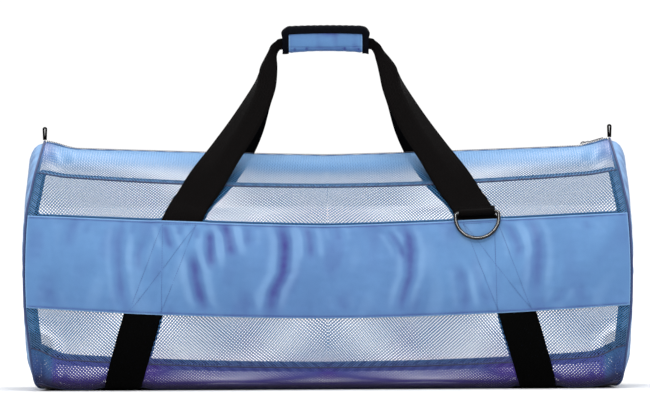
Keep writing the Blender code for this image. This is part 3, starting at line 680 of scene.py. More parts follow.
def bump(tree, height, strength, distance):
    return add(tree, "ShaderNodeBump", {"Height": height, "Strength": strength,
                                        "Distance": distance}).outputs[0]


def nylon_material(name, light, main, deep, pale):
    """Tightly woven packcloth. deep is the colour of its painted shade in folds and underneath,
    and the last colour is that of its painted highlight on ridges and along cut edges."""
    material, tree, shader = new_material(name)
    place, cloth = object_place(tree), cloth_place(tree)
    patches = remap(tree, noise(tree, place, 14.0, 4.0, 0.6), 0.38, 0.66)
    colour = mix_colour(tree, patches, main, light)
    weave = math(tree, "ADD", threads(tree, cloth, 0.0007), threads(tree, cloth, 0.0007, "Y"))
    grain = layered(tree, math(tree, "MULTIPLY", weave, 0.5), noise(tree, cloth, 900.0, 2.0))
    shade = remap(tree, grain, 0.25, 0.75, 0.90, 1.06)
    grey = add(tree, "ShaderNodeCombineColor", {0: shade, 1: shade, 2: shade}).outputs[0]
    colour = mix_colour(tree, 1.0, colour, grey, "MULTIPLY")
    # painted shade: the cloth turns to deep in folds and underneath, with a little noise
    painted_fold_shade = math(tree, "MULTIPLY", attribute(tree, "fold"),
                remap(tree, noise(tree, place, 60.0), 0.3, 0.7, 0.8, 1.1))
    colour = mix_colour(tree, painted_fold_shade, colour, deep)
    relief = math(tree, "ADD", grain, math(tree, "MULTIPLY", noise(tree, place, 130.0), 0.8))
    connect(tree, shader, {
        "Base Color": mix_colour(tree, attribute(tree, "pale"), colour, pale),
        "Roughness": remap(tree, grain, 0.2, 0.8, 0.49, 0.65),
        "Normal": bump(tree, relief, 0.35, 0.0006),
        "Sheen Weight": 0.06, "Sheen Roughness": 0.45, "Specular IOR Level": 0.22})
    return material


def net_material(name, light, main, *tones):
    """Knitted yarn of the open net. The tones are painted light and shade: a painted highlight at
    the zip, painted shade in dents and under the bag, and a near black painted shade in the
    gathered low corners."""
    material, tree, shader = new_material(name)
    place = object_place(tree)
    yarn = remap(tree, noise(tree, place, 700.0, 2.0), 0.3, 0.7)
    patches = remap(tree, noise(tree, place, 9.0, 3.0), 0.3, 0.7, 0.0, 0.25)
    colour = mix_colour(tree, patches, mix_colour(tree, yarn, main, light), main)
    for channel, tone in zip(("pale", "fold", "dark"), tones):
        colour = mix_colour(tree, attribute(tree, channel), colour, tone)
    connect(tree, shader, {
        "Base Color": colour, "Roughness": remap(tree, yarn, 0.0, 1.0, 0.5, 0.7),
        "Normal": bump(tree, yarn, 0.5, 0.0005), "Specular IOR Level": 0.25})
    return material


def webbing_material(name, colour, lift, pitch=0.0021):
    """Ribbed webbing: chevrons of thick yarn across its width, and painted shade that makes it
    nearly black where it is low on the bag."""
    material, tree, shader = new_material(name)
    cloth = cloth_place(tree)
    across, down, _ = split(tree, cloth)
    zigzag = math(tree, "PINGPONG", across, pitch)
    height = layered(tree, threads(tree, cloth, pitch),
                     slanted_threads(tree, down, zigzag, pitch * 0.55))
    dust = remap(tree, noise(tree, object_place(tree), 240.0, 3.0), 0.35, 0.75, 0.7, 1.0)
    tone = math(tree, "MULTIPLY", remap(tree, height, 0.1, 0.9, 0.25, 1.0), dust)
    tone = mix_colour(tree, tone, colour, lift)
    connect(tree, shader, {
        "Base Color": mix_colour(tree, attribute(tree, "low"), tone, (0.0002, 0.0002, 0.0002)),
        "Roughness": remap(tree, height, 0.0, 1.0, 0.77, 0.62),
        "Normal": bump(tree, height, 0.6, 0.0007), "Specular IOR Level": 0.03})
    return material


def twill_material(name, dark, light, pitch):
    """Binding tape with slanted ribs, mirrored at the middle of the bag."""
    material, tree, shader = new_material(name)
    across, _, up = split(tree, object_place(tree))
    outwards = math(tree, "MULTIPLY", math(tree, "ABSOLUTE", across), -0.8)
    ribs = slanted_threads(tree, up, outwards, pitch)
    connect(tree, shader, {
        "Base Color": mix_colour(tree, remap(tree, ribs, 0.42, 0.70), dark, light),
        "Roughness": remap(tree, ribs, 0.0, 1.0, 0.8, 0.65),
        "Normal": bump(tree, ribs, 0.5, 0.0006), "Specular IOR Level": 0.08})
    return material


def cord_material(name, colour, lift):
    """Piping and thread: a smooth twisted surface."""
    material, tree, shader = new_material(name)
    twist = noise(tree, object_place(tree), 900.0, 2.0)
    tone = remap(tree, twist, 0.3, 0.7)
    connect(tree, shader, {
        "Base Color": mix_colour(tree, tone, colour, lift),
        "Roughness": remap(tree, tone, 0.0, 1.0, 0.45, 0.65),
        "Normal": bump(tree, twist, 0.4, 0.0004)})
    return material


def metal_material(name, colour):
    """Glossy black paint on metal, with fine scratches and rubbed spots."""
    material, tree, shader = new_material(name)
    place = object_place(tree)
    stretched = add(tree, "ShaderNodeMapping", {0: place, 3: (900.0, 60.0, 60.0)}).outputs[0]
    scratches = noise(tree, stretched, 1.0)
    rubbed = remap(tree, noise(tree, place, 160.0, 4.0), 0.52, 0.78, 0.0, 0.6)
    connect(tree, shader, {
        "Base Color": mix_colour(tree, rubbed, colour, tuple(c * 2.2 for c in colour)),
        "Roughness": remap(tree, scratches, 0.3, 0.7, 0.05, 0.14),
        "Normal": bump(tree, scratches, 0.05, 0.0001), "Specular IOR Level": 0.35})
    return material


def plastic_material(name, colour):
    """Moulded plastic of the zip's coil, and the thick paint of its slider."""
    material, tree, shader = new_material(name)
    grain = noise(tree, object_place(tree), 1200.0, 2.0)
    connect(tree, shader, {
        "Base Color": mix_colour(tree, grain, colour, tuple(c * 1.8 for c in colour)),
        "Roughness": remap(tree, grain, 0.3, 0.7, 0.32, 0.5)})
    return material


# The nylons' third colour is painted shade and their fourth a painted highlight; the base's nylon
# is a darker purple copy of the blue nylon, painted shade for the underside
NYLON = nylon_material("nylon", (0.096, 0.218, 0.430), (0.078, 0.182, 0.375),
                       (0.034, 0.038, 0.200), (0.230, 0.400, 0.640))
SHADED_BASE_NYLON = nylon_material("nylon_base_painted_shade", (0.034, 0.022, 0.095), (0.026, 0.017, 0.075),
                            (0.004, 0.003, 0.010), (0.080, 0.060, 0.200))
# The net's last three colours are a painted highlight, painted shade and a near black painted
# shade
NET = net_material("net", (0.050, 0.185, 0.390), (0.022, 0.120, 0.290),
                   (0.140, 0.310, 0.570), (0.060, 0.036, 0.250), (0.010, 0.005, 0.030))
WEBBING = webbing_material("webbing", (0.0006, 0.0005, 0.0005), (0.0034, 0.0025, 0.0025))
BINDING = webbing_material("binding", (0.0006, 0.0008, 0.0020), (0.0028, 0.0034, 0.0062), 0.0012)
TWILL = twill_material("twill", (0.0005, 0.001, 0.004), (0.160, 0.260, 0.420), 0.0032)
ZIP_TAPE = webbing_material("zip_tape", (0.040, 0.095, 0.220), (0.080, 0.170, 0.350), 0.0010)
COIL = plastic_material("zip_coil", (0.012, 0.016, 0.030))
PIPING = cord_material("piping", (0.008, 0.020, 0.085), (0.020, 0.045, 0.150))
THREAD = cord_material("thread_blue", (0.022, 0.050, 0.190), (0.050, 0.095, 0.290))
THREAD_DARK = cord_material("thread_dark", (0.006, 0.010, 0.045), (0.014, 0.022, 0.080))
METAL = metal_material("metal", (0.004, 0.004, 0.005))
PAINTED = plastic_material("painted_metal", (0.010, 0.012, 0.022))
# ---------------------------------------------------------------- net panels

def low_corner(x):
    """1 in the low corners, where the net is gathered, and 0 between them."""
    return smooth((abs(x) - NET_CORNER_X) / NET_CORNER_FADE)


def net_shade(x, line):
    """How far painted shade turns the net purple: at the lower seam and under it, in its dents,
    and at the ends of the zip."""
    low = smooth((line - 8.35) / 0.75) * (0.72 + 0.28 * smooth((line - 9.2) / 1.2))
    low *= 1.0 - 0.85 * low_corner(x)
    dent = np.clip(-swell_height(x, line) / 0.005, 0.0, 0.6) * smooth((0.392 - abs(x)) / 0.01)
    dent *= smooth((line - 4.5) / 1.5)
    peak = 0.60 * smooth((abs(x) - 0.372) / 0.030) * smooth((3.2 - line) / 2.6)
    patch = 0.30 * smooth((ripple(x, line * 0.03, 31, 0.16) - 0.25) / 0.8)
    return np.clip(low + dent + peak + patch * smooth((line - 6.5) / 1.5), 0.0, 1.0)


def net_panel(name, side, top, bottom, node, holes):
    """An open net between two lines: a yarn frame round every hole, mirrored at the middle."""
    a, b = np.array(NET_STEP_A), np.array(NET_STEP_B)
    v_top, v_bottom = float(length_at(top)), float(length_at(bottom))
    corners = np.array([(x, v) for x in (-0.44, 0.0) for v in (v_top, v_bottom)])
    spans = corners @ np.linalg.inv(np.stack([a, b], 1)).T
    low, high = np.floor(spans.min(0)).astype(int) - 1, np.ceil(spans.max(0)).astype(int) + 1
    i, j = np.meshgrid(np.arange(low[0], high[0] + 1), np.arange(low[1], high[1] + 1),
                       indexing="ij")
    centre = i[..., None] * a + j[..., None] * b
    down = np.clip((centre[..., 1:] - v_top) / (v_bottom - v_top), 0.0, 1.0)
    half = (holes[0] + (holes[1] - holes[0]) * smooth((down - 0.45) / 0.45)) / 2
    if v_top > length_at(float(LOWER_SEAM)):
        half = half * (1.0 - 0.40 * low_corner(centre[..., :1]))
    # four corners of every hole, then the knots between four holes and the ribs between two
    signs = ((-1, -1), (1, -1), (1, 1), (-1, 1))
    flat = np.stack([centre + a * half * s + b * half * t for s, t in signs], 2)
    number = np.arange(flat.shape[0] * flat.shape[1] * 4).reshape(flat.shape[:3])
    here, left, below, corner = (number[1:, 1:], number[:-1, 1:], number[1:, :-1],
                                 number[:-1, :-1])
    frames = ((here[..., 0], left[..., 1], corner[..., 2], below[..., 3]),
              (here[..., 0], here[..., 3], left[..., 2], left[..., 1]),
              (here[..., 0], below[..., 3], below[..., 2], here[..., 1]))
    quads = np.concatenate([np.stack(frame_part, -1).reshape(-1, 4) for frame_part in frames])
    flat = flat.reshape(-1, 2)
    inside = ((flat[:, 0] > -0.43) & (flat[:, 0] < 0.001) & (flat[:, 1] > v_top - 0.001)
              & (flat[:, 1] < v_bottom + 0.001))
    quads = quads[inside[quads].any(1)]
    v = np.clip(flat[:, 1], v_top, v_bottom)
    reach = half_length(line_at(v)) - NET_MARGIN
    place = np.stack([np.clip(flat[:, 0], -reach, 0.0), v], 1)
    square = abs(np.cross(place[quads[:, 2]] - place[quads[:, 0]],
                          place[quads[:, 3]] - place[quads[:, 1]]))
    used, quads = np.unique(quads[square > 2e-8], return_inverse=True)
    quads = quads.reshape(-1, 4)
    x, v = place[used].T
    line = line_at(v)
    sag = 0.0004 * ripple(x, v, 7, 0.05)
    points = np.concatenate([body(end * x, line, side, sag - 0.0002) for end in (-side, side)])
    faces = np.concatenate([quads, quads[:, ::-1] + len(x)])
    # painted shade turns the yarn near black under the bag and in the low corners, net_shade
    # paints purple shade, and a painted highlight lightens the yarn above the upper seam
    dark = np.maximum(0.85 * smooth((line - 9.7) / 1.0),
                      0.34 * low_corner(x) * smooth((line - 7.9) / 0.2))
    shades = {"fold": net_shade(x, line), "pale": smooth((UPPER_SEAM - 0.3 - line) / 1.6),
              "dark": dark}
    uv = np.stack([np.concatenate([-side * x, side * x]), np.tile(v, 2)], 1)
    piece = mesh_piece(name, points, faces, NET, [node], uv=uv, smooth_shading=False,
                       values={key: np.tile(value, 2) for key, value in shades.items()})


def nets():
    half = SEAM_GAP / 2
    for side, word in SIDES:
        for name, top, bottom, node, holes in (
                ("net_top_", shifted(ZIP, ZIP_HALF_WIDTH + SEAM_GAP), shifted(UPPER_SEAM, -half),
                 "mesh_top_", (NET_HOLE_ZIP, NET_HOLE_SIDE[0])),
                ("net_side_", shifted(UPPER_SEAM, half), shifted(LOWER_SEAM, -half), "mesh_",
                 NET_HOLE_SIDE),
                ("net_low_", shifted(LOWER_SEAM, half), shifted(BASE_SEAM, -half),
                 "mesh_lower_", NET_HOLE_LOW)):
            net_panel(name + word, side, top, bottom, node + word, holes)


def seam_rolls():
    """Narrow bound seams that join the nets and the base."""
    for side, word in SIDES:
        for name, line in (("top", UPPER_SEAM), ("side", LOWER_SEAM), ("low", BASE_SEAM)):
            reach = float(half_length(line)) - END_MARGIN
            x = np.linspace(-reach, reach, 320)
            path = body(x, line, side, 0.0002 * np.sin(x * 900.0))
            cord_piece(f"seam_net_{name}_{word}", path, x, 0.0010, 6, THREAD_DARK)

# ---------------------------------------------------------------- band

def band_down(line):
    return np.clip((line - BAND_TOP) / (BAND_BOTTOM - BAND_TOP), 0.0, 1.0)


def crease_depth(x, line):
    """How deep the band's cloth falls into its creases, from 0 to 1."""
    down = band_down(line)
    total = np.zeros_like(x)
    for width, depth, *points in BAND_CREASES:
        places = np.array(points)
        low, high = places[0, 1], places[-1, 1]
        middle = np.interp(down, places[:, 1], places[:, 0])
        along_it = (down - low) / (high - low)
        fade = smooth((along_it + 0.22) / 0.40) * smooth((1.25 - along_it) / 0.50)
        across = (x - middle) / (width * 1.3)
        valley = np.exp(-(across ** 2) * 1.6)
        total = np.maximum(total, depth * valley * fade)
    return total


def band_offset(x, line, depth=None):
    near = strap_distance(x, line)
    ridge = smooth((BAND_PLATEAU + BAND_RAMP - near) / BAND_RAMP)
    ends = smooth((0.415 - abs(x)) / 0.04)
    if depth is None:
        depth = crease_depth(x, line)
    puff = (0.30 + 0.70 * np.sin(pi * band_down(line))) * (0.85 - 0.80 * depth)
    plain = BAND_PLAIN + BAND_PUFF * np.maximum(puff, 0.0) * ends
    over = BAND_OVER_STRAP - 0.0003 * depth
    return plain + (over - plain) * ridge


def bands():
    rows, columns = 64, 520
    line = np.linspace(BAND_TOP, BAND_BOTTOM, rows)[:, None] + np.zeros((1, columns))
    share = np.linspace(-1.0, 1.0, columns)[None, :]
    x = share * (half_length(line) - END_MARGIN)
    v = length_at(line)
    edge = np.minimum(v - v.min(), v.max() - v)
    rim = half_length(line) - END_MARGIN - abs(x)
    for side, word in SIDES:
        seed = 3 if side < 0 else 5
        # the back has creases of the same kind, the other way round
        depth = crease_depth(-side * x, line)
        fine = (ripple(x, v, seed, 0.020) * 0.00030
                + ripple(x * 2.2, v * 0.6, seed + 1, 0.03) * 0.00035)
        stitch = -0.00035 * smooth(1.0 - abs(edge - HEM_INSET) / 0.0016)
        offset = band_offset(x, line, depth) + fine * smooth(edge / 0.004) + stitch
        points = body(x, line, side, offset)
        # painted shade in the creases, in soft waves, between the straps, towards the bottom and
        # along the stitch grooves; painted highlight on the ridges beside the creases, in soft
        # waves and along the edges
        waves = ripple(x, v * 0.4, seed + 2, 0.045)
        tint = depth * 0.55 + 0.50 * depth ** 2 + 0.18 * smooth(waves - 0.1)
        tint += 0.10 * smooth((0.185 - abs(x)) / 0.09)
        tint += 0.10 * smooth((band_down(line) - 0.60) / 0.40)
        tint += 0.50 * np.exp(-((edge - 0.0028) / 0.0008) ** 2)
        ridge = np.roll(depth, -9, 1) + np.roll(depth, 9, 1) - 1.6 * depth
        pale = 0.30 * smooth(ridge / 0.9) + 0.14 * smooth(-waves - 0.2)
        pale += 0.55 * smooth(1.0 - edge / 0.0012) + 0.5 * smooth(1.0 - rim / 0.0016)
        piece = sheet_piece("band_cloth_" + word, points, outward(x, line, side), NYLON_THICK,
                            NYLON, ["band_" + word],
                            {"fold": np.clip(tint, 0, 1), "pale": np.clip(pale, 0, 1)})
# ---------------------------------------------------------------- base and ends

def base():
    edge = shifted(BASE_SEAM, SEAM_GAP / 2)
    half = np.concatenate([np.linspace(edge, TOE, 12), np.linspace(TOE, BASE, 10)[1:]])
    line = np.concatenate([half, half[-2::-1]])[:, None] + np.zeros((1, 300))
    across = np.ones((len(line), 1, 1))
    across[len(half):] = -1.0
    x = np.linspace(-1.0, 1.0, 300)[None, :] * (half_length(line) - END_MARGIN)
    points, normals = body(x, line, -1), outward(x, line, -1)
    for grid in (points, normals):
        grid[..., 1:2] *= across
    # painted shade: the base darkens from its seam to where it faces the floor
    fold = smooth((line - BASE_SEAM) / 0.6)
    piece = sheet_piece("base_cloth", points, normals, NYLON_THICK, SHADED_BASE_NYLON, ["base_panel"],
                        {"fold": fold})


def end_seam(line, end, side):
    yz = section_point(line, np.ones_like(line))
    return np.stack([end * half_length(line), -side * yz[..., 0],
                     np.maximum(yz[..., 1], PIPING_RADIUS)], -1)


def end_outline(end):
    """The seam of an end as evenly spaced points, with the metres along it."""
    line = np.linspace(0.0, BASE, 90)
    front = end_seam(line, end, -1)
    back = end_seam(line[-2:0:-1], end, 1)
    closed = np.concatenate([front, back, front[:1]])
    length = np.concatenate([[0.0], np.cumsum(np.linalg.norm(np.diff(closed, axis=0), axis=1))])
    places = np.linspace(0.0, length[-1], 241)[:-1]
    return np.stack([np.interp(places, length, closed[:, k]) for k in range(3)], 1), places


def ends():
    # rings of each end from its seam inwards, nearly to its centre
    share = np.array((0.990, 0.975, 0.95, 0.915, 0.87, 0.81, 0.73, 0.63, 0.5, 0.36, 0.2, 0.08,
                      0.0015))[:, None]
    for end, word in ENDS:
        loop, places = end_outline(end)
        y = loop[:, 1] * share
        z = END_CENTRE_Z + (loop[:, 2] - END_CENTRE_Z) * share
        puffed = (1.0 - (share / share[0]) ** 8) ** 0.6
        start = abs(loop[:, 0]) + 0.0004
        turns = places * 2 * pi / (places[-1] * 241 / 240)
        waves = np.sin(turns * 46) + 0.7 * np.sin(turns * 29 + 1)
        pucker = waves * smooth((share - 0.72) / 0.2) * smooth((0.99 - share) / 0.03)
        sag = ripple(y, z, 11 + end, 0.09) * smooth((0.93 - share) / 0.3)
        x = (start + (np.interp(z, BULGE_Z, BULGE_X) - start) * puffed + pucker * 0.00045
             - 0.0016 * abs(sag))
        points = np.stack([end * x, y, z], -1)
        towards = np.zeros_like(points)
        towards[..., 0] = end
        # painted shade in puckers and sags and near the floor; painted highlight on the puckers
        # and round the rim
        fold = np.clip(-pucker, 0, 1) * 0.35 + 0.15 * abs(sag)
        fold = np.clip(fold + smooth((0.04 - z) / 0.04) * 0.6, 0, 1)
        pale = 0.30 * np.clip(pucker, 0, 1) + 0.45 * smooth((share - 0.93) / 0.05)
        turn = (grid_normals(points) * towards).sum() < 0
        both = np.concatenate([points, (points - facing(points, towards) * NYLON_THICK)[::-1]])
        # one more row of faces joins the last ring, at the back, to the first
        rows, columns = both.shape[:2]
        faces = ring_faces(rows + 1, columns, turn) % (rows * columns)
        piece = mesh_piece("end_cloth_" + word, both, faces, NYLON, ["end_panel_" + word],
                           uv=both[..., 1:],
                           values={"fold": np.concatenate([fold, fold[::-1]]),
                                   "pale": np.concatenate([pale, pale[::-1]])})
        cord_piece("piping_cord_" + word, loop, places, PIPING_RADIUS, 10, PIPING,
                   ["piping_" + word], closed=True)


# ---------------------------------------------------------------- straps
def back_shift(steps, side):
    if side < 0:
        return np.zeros_like(steps)
    return BACK_STRAP_INWARD * smooth(steps / 3.0) * smooth((5.2 - steps) / 2.2)


ACROSS = np.array((0.0250, 0.0200, 0.0140, 0.0080, 0.0025, -0.0025, -0.0080, -0.0140, -0.0200,
                   -0.0250))


def strap_on_body(line, end, side):
    """Rows of points across the webbing where it lies on the body, outer edge first."""
    def middle(at):
        return strap_x(at, end) - back_shift(BAND_TOP - at, side)
    step, low = 0.05, np.minimum(line + 0.02, BASE)
    speed = np.linalg.norm(plain_body(middle(line), low)
                           - plain_body(middle(line), line - 0.02), axis=1)
    speed /= low - (line - 0.02)
    slope = np.arctan2(middle(line - step) - middle(line + step), 2 * step * speed)
    slope = np.where(line >= TOE, 0.0, slope)[:, None]
    x = middle(line)[:, None] + ACROSS * np.cos(slope)
    at = np.minimum(line[:, None] + ACROSS * np.sin(slope) / speed[:, None], BASE)
    return body(end * x, at, side, LAYER_GAP + WEBBING_THICK)
def strap_free(end, side):
    """The same rows above the body, from the body up to the middle of the handle."""
    rows = []
    for index, row in enumerate(STRAP_FREE):
        crease = row[:3]
        to_inner = row[3:6] - crease
        half = np.linalg.norm(to_inner) - FOLD_HALF
        to_inner = to_inner / np.linalg.norm(to_inner)
        back = np.array((0.0, 1.0, 0.0))
        back = unit(back - to_inner * np.dot(back, to_inner))
        fold = radians(row[6])
        to_outer = -to_inner * cos(fold) + back * sin(fold)
        middle = unit(to_inner - to_outer)
        outer = [crease - middle * FOLD_HALF + to_outer * half * s for s in (1, .75, .5, .25, 0)]
        inner = [crease + middle * FOLD_HALF + to_inner * half * s for s in (0, .25, .5, .75, 1)]
        points = np.array(outer + inner)
        steps = index + 2.0
        on_handle = float(smooth((steps - 6.0) / 4.0))
        slide = (STRAP_SHIFT + (HANDLE_X - STRAP_SHIFT) * on_handle
                 + end * STRAP_END_GAP * on_handle)
        points[:, 0] = end * (points[:, 0] - float(back_shift(np.array(steps), side))) + slide
        points[:, 1] *= -side
        rows.append(points)
    return rows


def straps():
    low = np.concatenate([np.arange(STRAP_LEAVES, TOE, 0.12), np.linspace(TOE, BASE, 8)])
    for end, word in ENDS:
        halves = []
        for side, _ in SIDES:
            on = strap_on_body(low, end, side)
            keys = [strap_on_body(np.array([STRAP_LEAVES + 0.6]), end, side)[0], on[0],
                    *strap_free(end, side)]
            free = along(np.array(keys), np.linspace(1.0, len(keys) - 1.0, 92))[::-1]
            halves.append(np.concatenate([free[:-1], on]))
        points = np.concatenate([halves[0], halves[1][-2::-1]])
        # painted shade: the webbing turns nearly black below the band
        under = np.concatenate([np.zeros(len(free) - 1), smooth((low - 6.6) / 0.6)])
        under = np.concatenate([under, under[-2::-1]])[:, None] + np.zeros(len(ACROSS))
        normals = grid_normals(points)
        # the webbing's outer face looks down where it lies on the floor
        if normals[len(halves[0]) - 1, 5, 2] > 0:
            normals = -normals
        p, f, uv, values = shell(points, normals, WEBBING_THICK, {"low": under})
        mesh_piece("webbing_" + word, p, f, WEBBING, ["strap_" + word], uv=uv,
                   values=values)


# ---------------------------------------------------------------- bindings, zip, loops

def inner_bindings():
    """Tape inside the four edges of each side panel, seen through the net."""
    top = shifted(UPPER_SEAM, -BINDING_BEYOND_SEAM)
    low = shifted(LOWER_SEAM, BINDING_BEYOND_SEAM)
    share = np.linspace(-1.0, 1.0, 260)[None, :]
    strips = []
    for start, wide in ((top, BINDING_WIDTH), (low, -BINDING_LOW_WIDTH)):
        line = np.array([shifted(start, wide * k / 3) for k in range(4)])[:, None] + share * 0
        strips.append((line, share * (half_length(line) - END_MARGIN - BINDING_EDGE)))
    inner_top = shifted(top, BINDING_WIDTH + 0.0004)
    inner_low = shifted(low, -BINDING_LOW_WIDTH - 0.0004)
    line = np.linspace(inner_top, inner_low, 90)[:, None] + np.zeros((1, 4))
    inset = BINDING_EDGE + BINDING_END_WIDTH * np.linspace(0.0, 1.0, 4)[None, :]
    for end, _ in ENDS:
        strips.append((line, end * (half_length(line) - END_MARGIN - inset)))
    for side, word in SIDES:
        shells = []
        for line, x in strips:
            points = body(x, line, side, -BINDING_DEPTH)
            shells.append(shell(points, facing(points, outward(x, line, side)), TAPE_THICK))
        taped_piece("inner_binding_" + word, shells, TWILL, "seam_tape_" + word)


def zipper():
    reach = float(half_length(ZIP)) - END_MARGIN
    x = np.linspace(-reach, reach, 320)[None, :]
    across = np.array((-ZIP_HALF_WIDTH, -0.012, -0.008, -0.0045, 0.0, 0.0045, 0.008, 0.012,
                       ZIP_HALF_WIDTH))[:, None]
    line = np.array([shifted(0.0, abs(a)) for a in across[:, 0]])[:, None] + x * 0
    points = body(x + across * 0, line, -1, 0.0002 * np.sin(x * 260))
    points[..., 1] = np.where(across > 0, -points[..., 1], points[..., 1])
    towards = np.zeros_like(points)
    towards[..., 2] = 1.0
    tape = sheet_piece("zip_tape", points, towards, TAPE_THICK, ZIP_TAPE, ["zip_strip"])
    pitch = 0.0024
    sideways = Vector((0.0, 1.0, 0.0))
    parts = []
    for index in range(int(2 * reach / pitch)):
        at = -reach + (index + 0.5) * pitch
        low, high = body(np.array([at - 0.001, at + 0.001]), 0.0, -1, 0.0)
        ahead = Vector(high - low).normalized()
        up = ahead.cross(sideways)
        centre = Vector((low + high) / 2) + up * (CHAIN_HEIGHT / 2)
        centre.y += 0.0005 if index % 2 else -0.0005
        parts.append(box_arrays((2 * CHAIN_HALF_WIDTH - 0.001, 0.0017, CHAIN_HEIGHT - 0.0002),
                                axes_at(sideways, -ahead, up, centre), 0.85))
    points, faces = joined(parts)
    mesh_piece("zip_coil", points, faces, COIL)
def extruded(outline, half_depth, bevel, matrix):
    """A flat outline with a soft edge: points and faces, thickness along its own z."""
    outline = np.array(outline, float)
    centre = outline.mean(0)
    drawn = centre + (outline - centre) * (1 - bevel / np.abs(outline - centre).max(0).clip(1e-6))
    rings = ((drawn, -half_depth), (outline, -half_depth + bevel), (outline, half_depth - bevel),
             (drawn, half_depth))
    points = np.concatenate([np.column_stack([ring, np.full(len(ring), z)])
                             for ring, z in rings])
    count = len(outline)
    faces = ring_faces(4, count).tolist()
    faces.append(list(range(count))[::-1])
    faces.append([3 * count + k for k in range(count)])
    return moved(points, matrix), faces
def slider():
    base_height = CHAIN_HEIGHT + LAYER_GAP
    start, end = body(np.array([SLIDER_X, SLIDER_X + 0.034]), 0.0, -1, base_height)
    lean = atan2(end[2] - start[2], end[0] - start[0])
    place = Matrix.Translation(Vector(start)) @ Matrix.Rotation(-lean, 4, "Y")
    shield = [(0.0, -0.0018), (0.0008, -0.0032), (0.0035, -0.0037), (0.0070, -0.0034),
              (0.0098, -0.0022), (0.0100, 0.0), (0.0098, 0.0022), (0.0070, 0.0034),
              (0.0035, 0.0037), (0.0008, 0.0032), (0.0, 0.0018)]
    parts = [extruded(shield, 0.0005, 0.00025, place @ Matrix.Translation((0, 0, 0.0006)))]
    arch = [(0.0015 + 0.006 * t, 0.0, 0.0011 + 0.0013 * sin(pi * t)) for t in
            np.linspace(0.0, 1.0, 10)]
    arch = [place @ Vector(p) for p in arch]
    parts.append(tube_arrays(arch, 0.00065, 8))
    pull = []
    for t in np.linspace(0, 2 * pi, 28, endpoint=False):
        x, y = (float(np.sign(f(t)) * abs(f(t)) ** 0.55) for f in (cos, sin))
        pull.append((0.0222 + 0.0115 * x, 0.0031 * y))
    parts.append(extruded(pull, 0.00055, 0.0003, place @ Matrix.Translation((0, 0, 0.0001))))
    link = [place @ Vector((0.0100 + 0.0024 * cos(t), 0.0016 * sin(t), 0.0013))
            for t in np.linspace(0, 2 * pi, 16, endpoint=False)]
    parts.append(tube_arrays(link, 0.00045, 6, closed=True))
    points, faces = joined(parts)
    # the pull hangs a little, so it follows the rise of the zip
    straight = np.interp(points[:, 0], (start[0], end[0]), (start[2], end[2]))
    rising = body(points[:, 0], 0.0, -1, base_height)[:, 2]
    points[:, 2] += np.minimum(rising - straight, 0.0)
    mesh_piece("slider", points, faces, PAINTED, ["zip_slider"], smooth_shading=False)


def folded_tab(name, profile, half_width, outwards, origin, turn, node, thickness=LOOP_THICK):
    """Webbing folded along a profile of (x, y) points, and half_width to both sides."""
    width = np.linspace(-half_width, half_width, 9)
    corners = np.array([[(x, y, w) for w in width] for x, y in profile]) @ np.array(turn).T
    direction = np.array([[(x, y, 0.0)] * len(width) for x, y in outwards]) @ np.array(turn).T
    sheet_piece(name, corners + np.array(origin), direction, thickness, WEBBING, [node])


def end_loops():
    turn = Matrix.Rotation(radians(90), 3, "X")
    top = END_LOOP_HEIGHT - END_LOOP_SPREAD
    foot = END_LOOP_SPREAD * 0.80
    leg = [(foot + (END_LOOP_SPREAD - foot) * t, top * t) for t in np.linspace(0.0, 1.0, 5)]
    arc = [(cos(angle), sin(angle)) for angle in np.linspace(pi, 0.0, 13)]
    profile = [(-x, y) for x, y in leg[:-1]]
    profile += [(END_LOOP_SPREAD * x, top + END_LOOP_SPREAD * y) for x, y in arc]
    profile += leg[-2::-1]
    outwards = [(-1.0, 0.0)] * 4 + arc + [(1.0, 0.0)] * 4
    for end, word in ENDS:
        seam = end_seam(np.array([0.0]), end, -1)[0]
        origin = (seam[0], 0.0, seam[2] + END_LOOP_FOOT)
        folded_tab("end_tab_" + word, profile, END_LOOP_HALF_WIDTH, outwards, origin, turn,
                   "end_loop_" + word, END_LOOP_WALL)


def dring_seat(line):
    """The ring's bar over a line of the body."""
    return body(np.array([DRING_X]), line, -1, DRING_OFFSET)[0]


def dring():
    bar = DRING_HALF - DRING_CORNER
    outline = [(x, 0.0) for x in np.linspace(-bar, bar, 9)]
    corner = [(bar + DRING_CORNER * sin(t), -DRING_CORNER + DRING_CORNER * cos(t))
              for t in np.linspace(0, pi / 2, 9)[1:]]
    outline += corner
    for t in np.linspace(0, pi, 49):
        outline.append((DRING_HALF * cos(t), -DRING_LEG - DRING_HALF * sin(t)))
    outline += [(-x, z) for x, z in corner[::-1]]
    lean = radians(DRING_LEAN)
    place = (Matrix.Translation(Vector(dring_seat(DRING_LINE)))
             @ Matrix.Rotation(radians(-DRING_TILT), 4, "Y"))
    path = [place @ Vector((x, z * sin(lean), z * cos(lean))) for x, z in outline]
    points, faces = tube_arrays(path, DRING_WIRE, 16, closed=True)
    mesh_piece("ring", points, faces, METAL, ["d_ring"], body_name="ring")


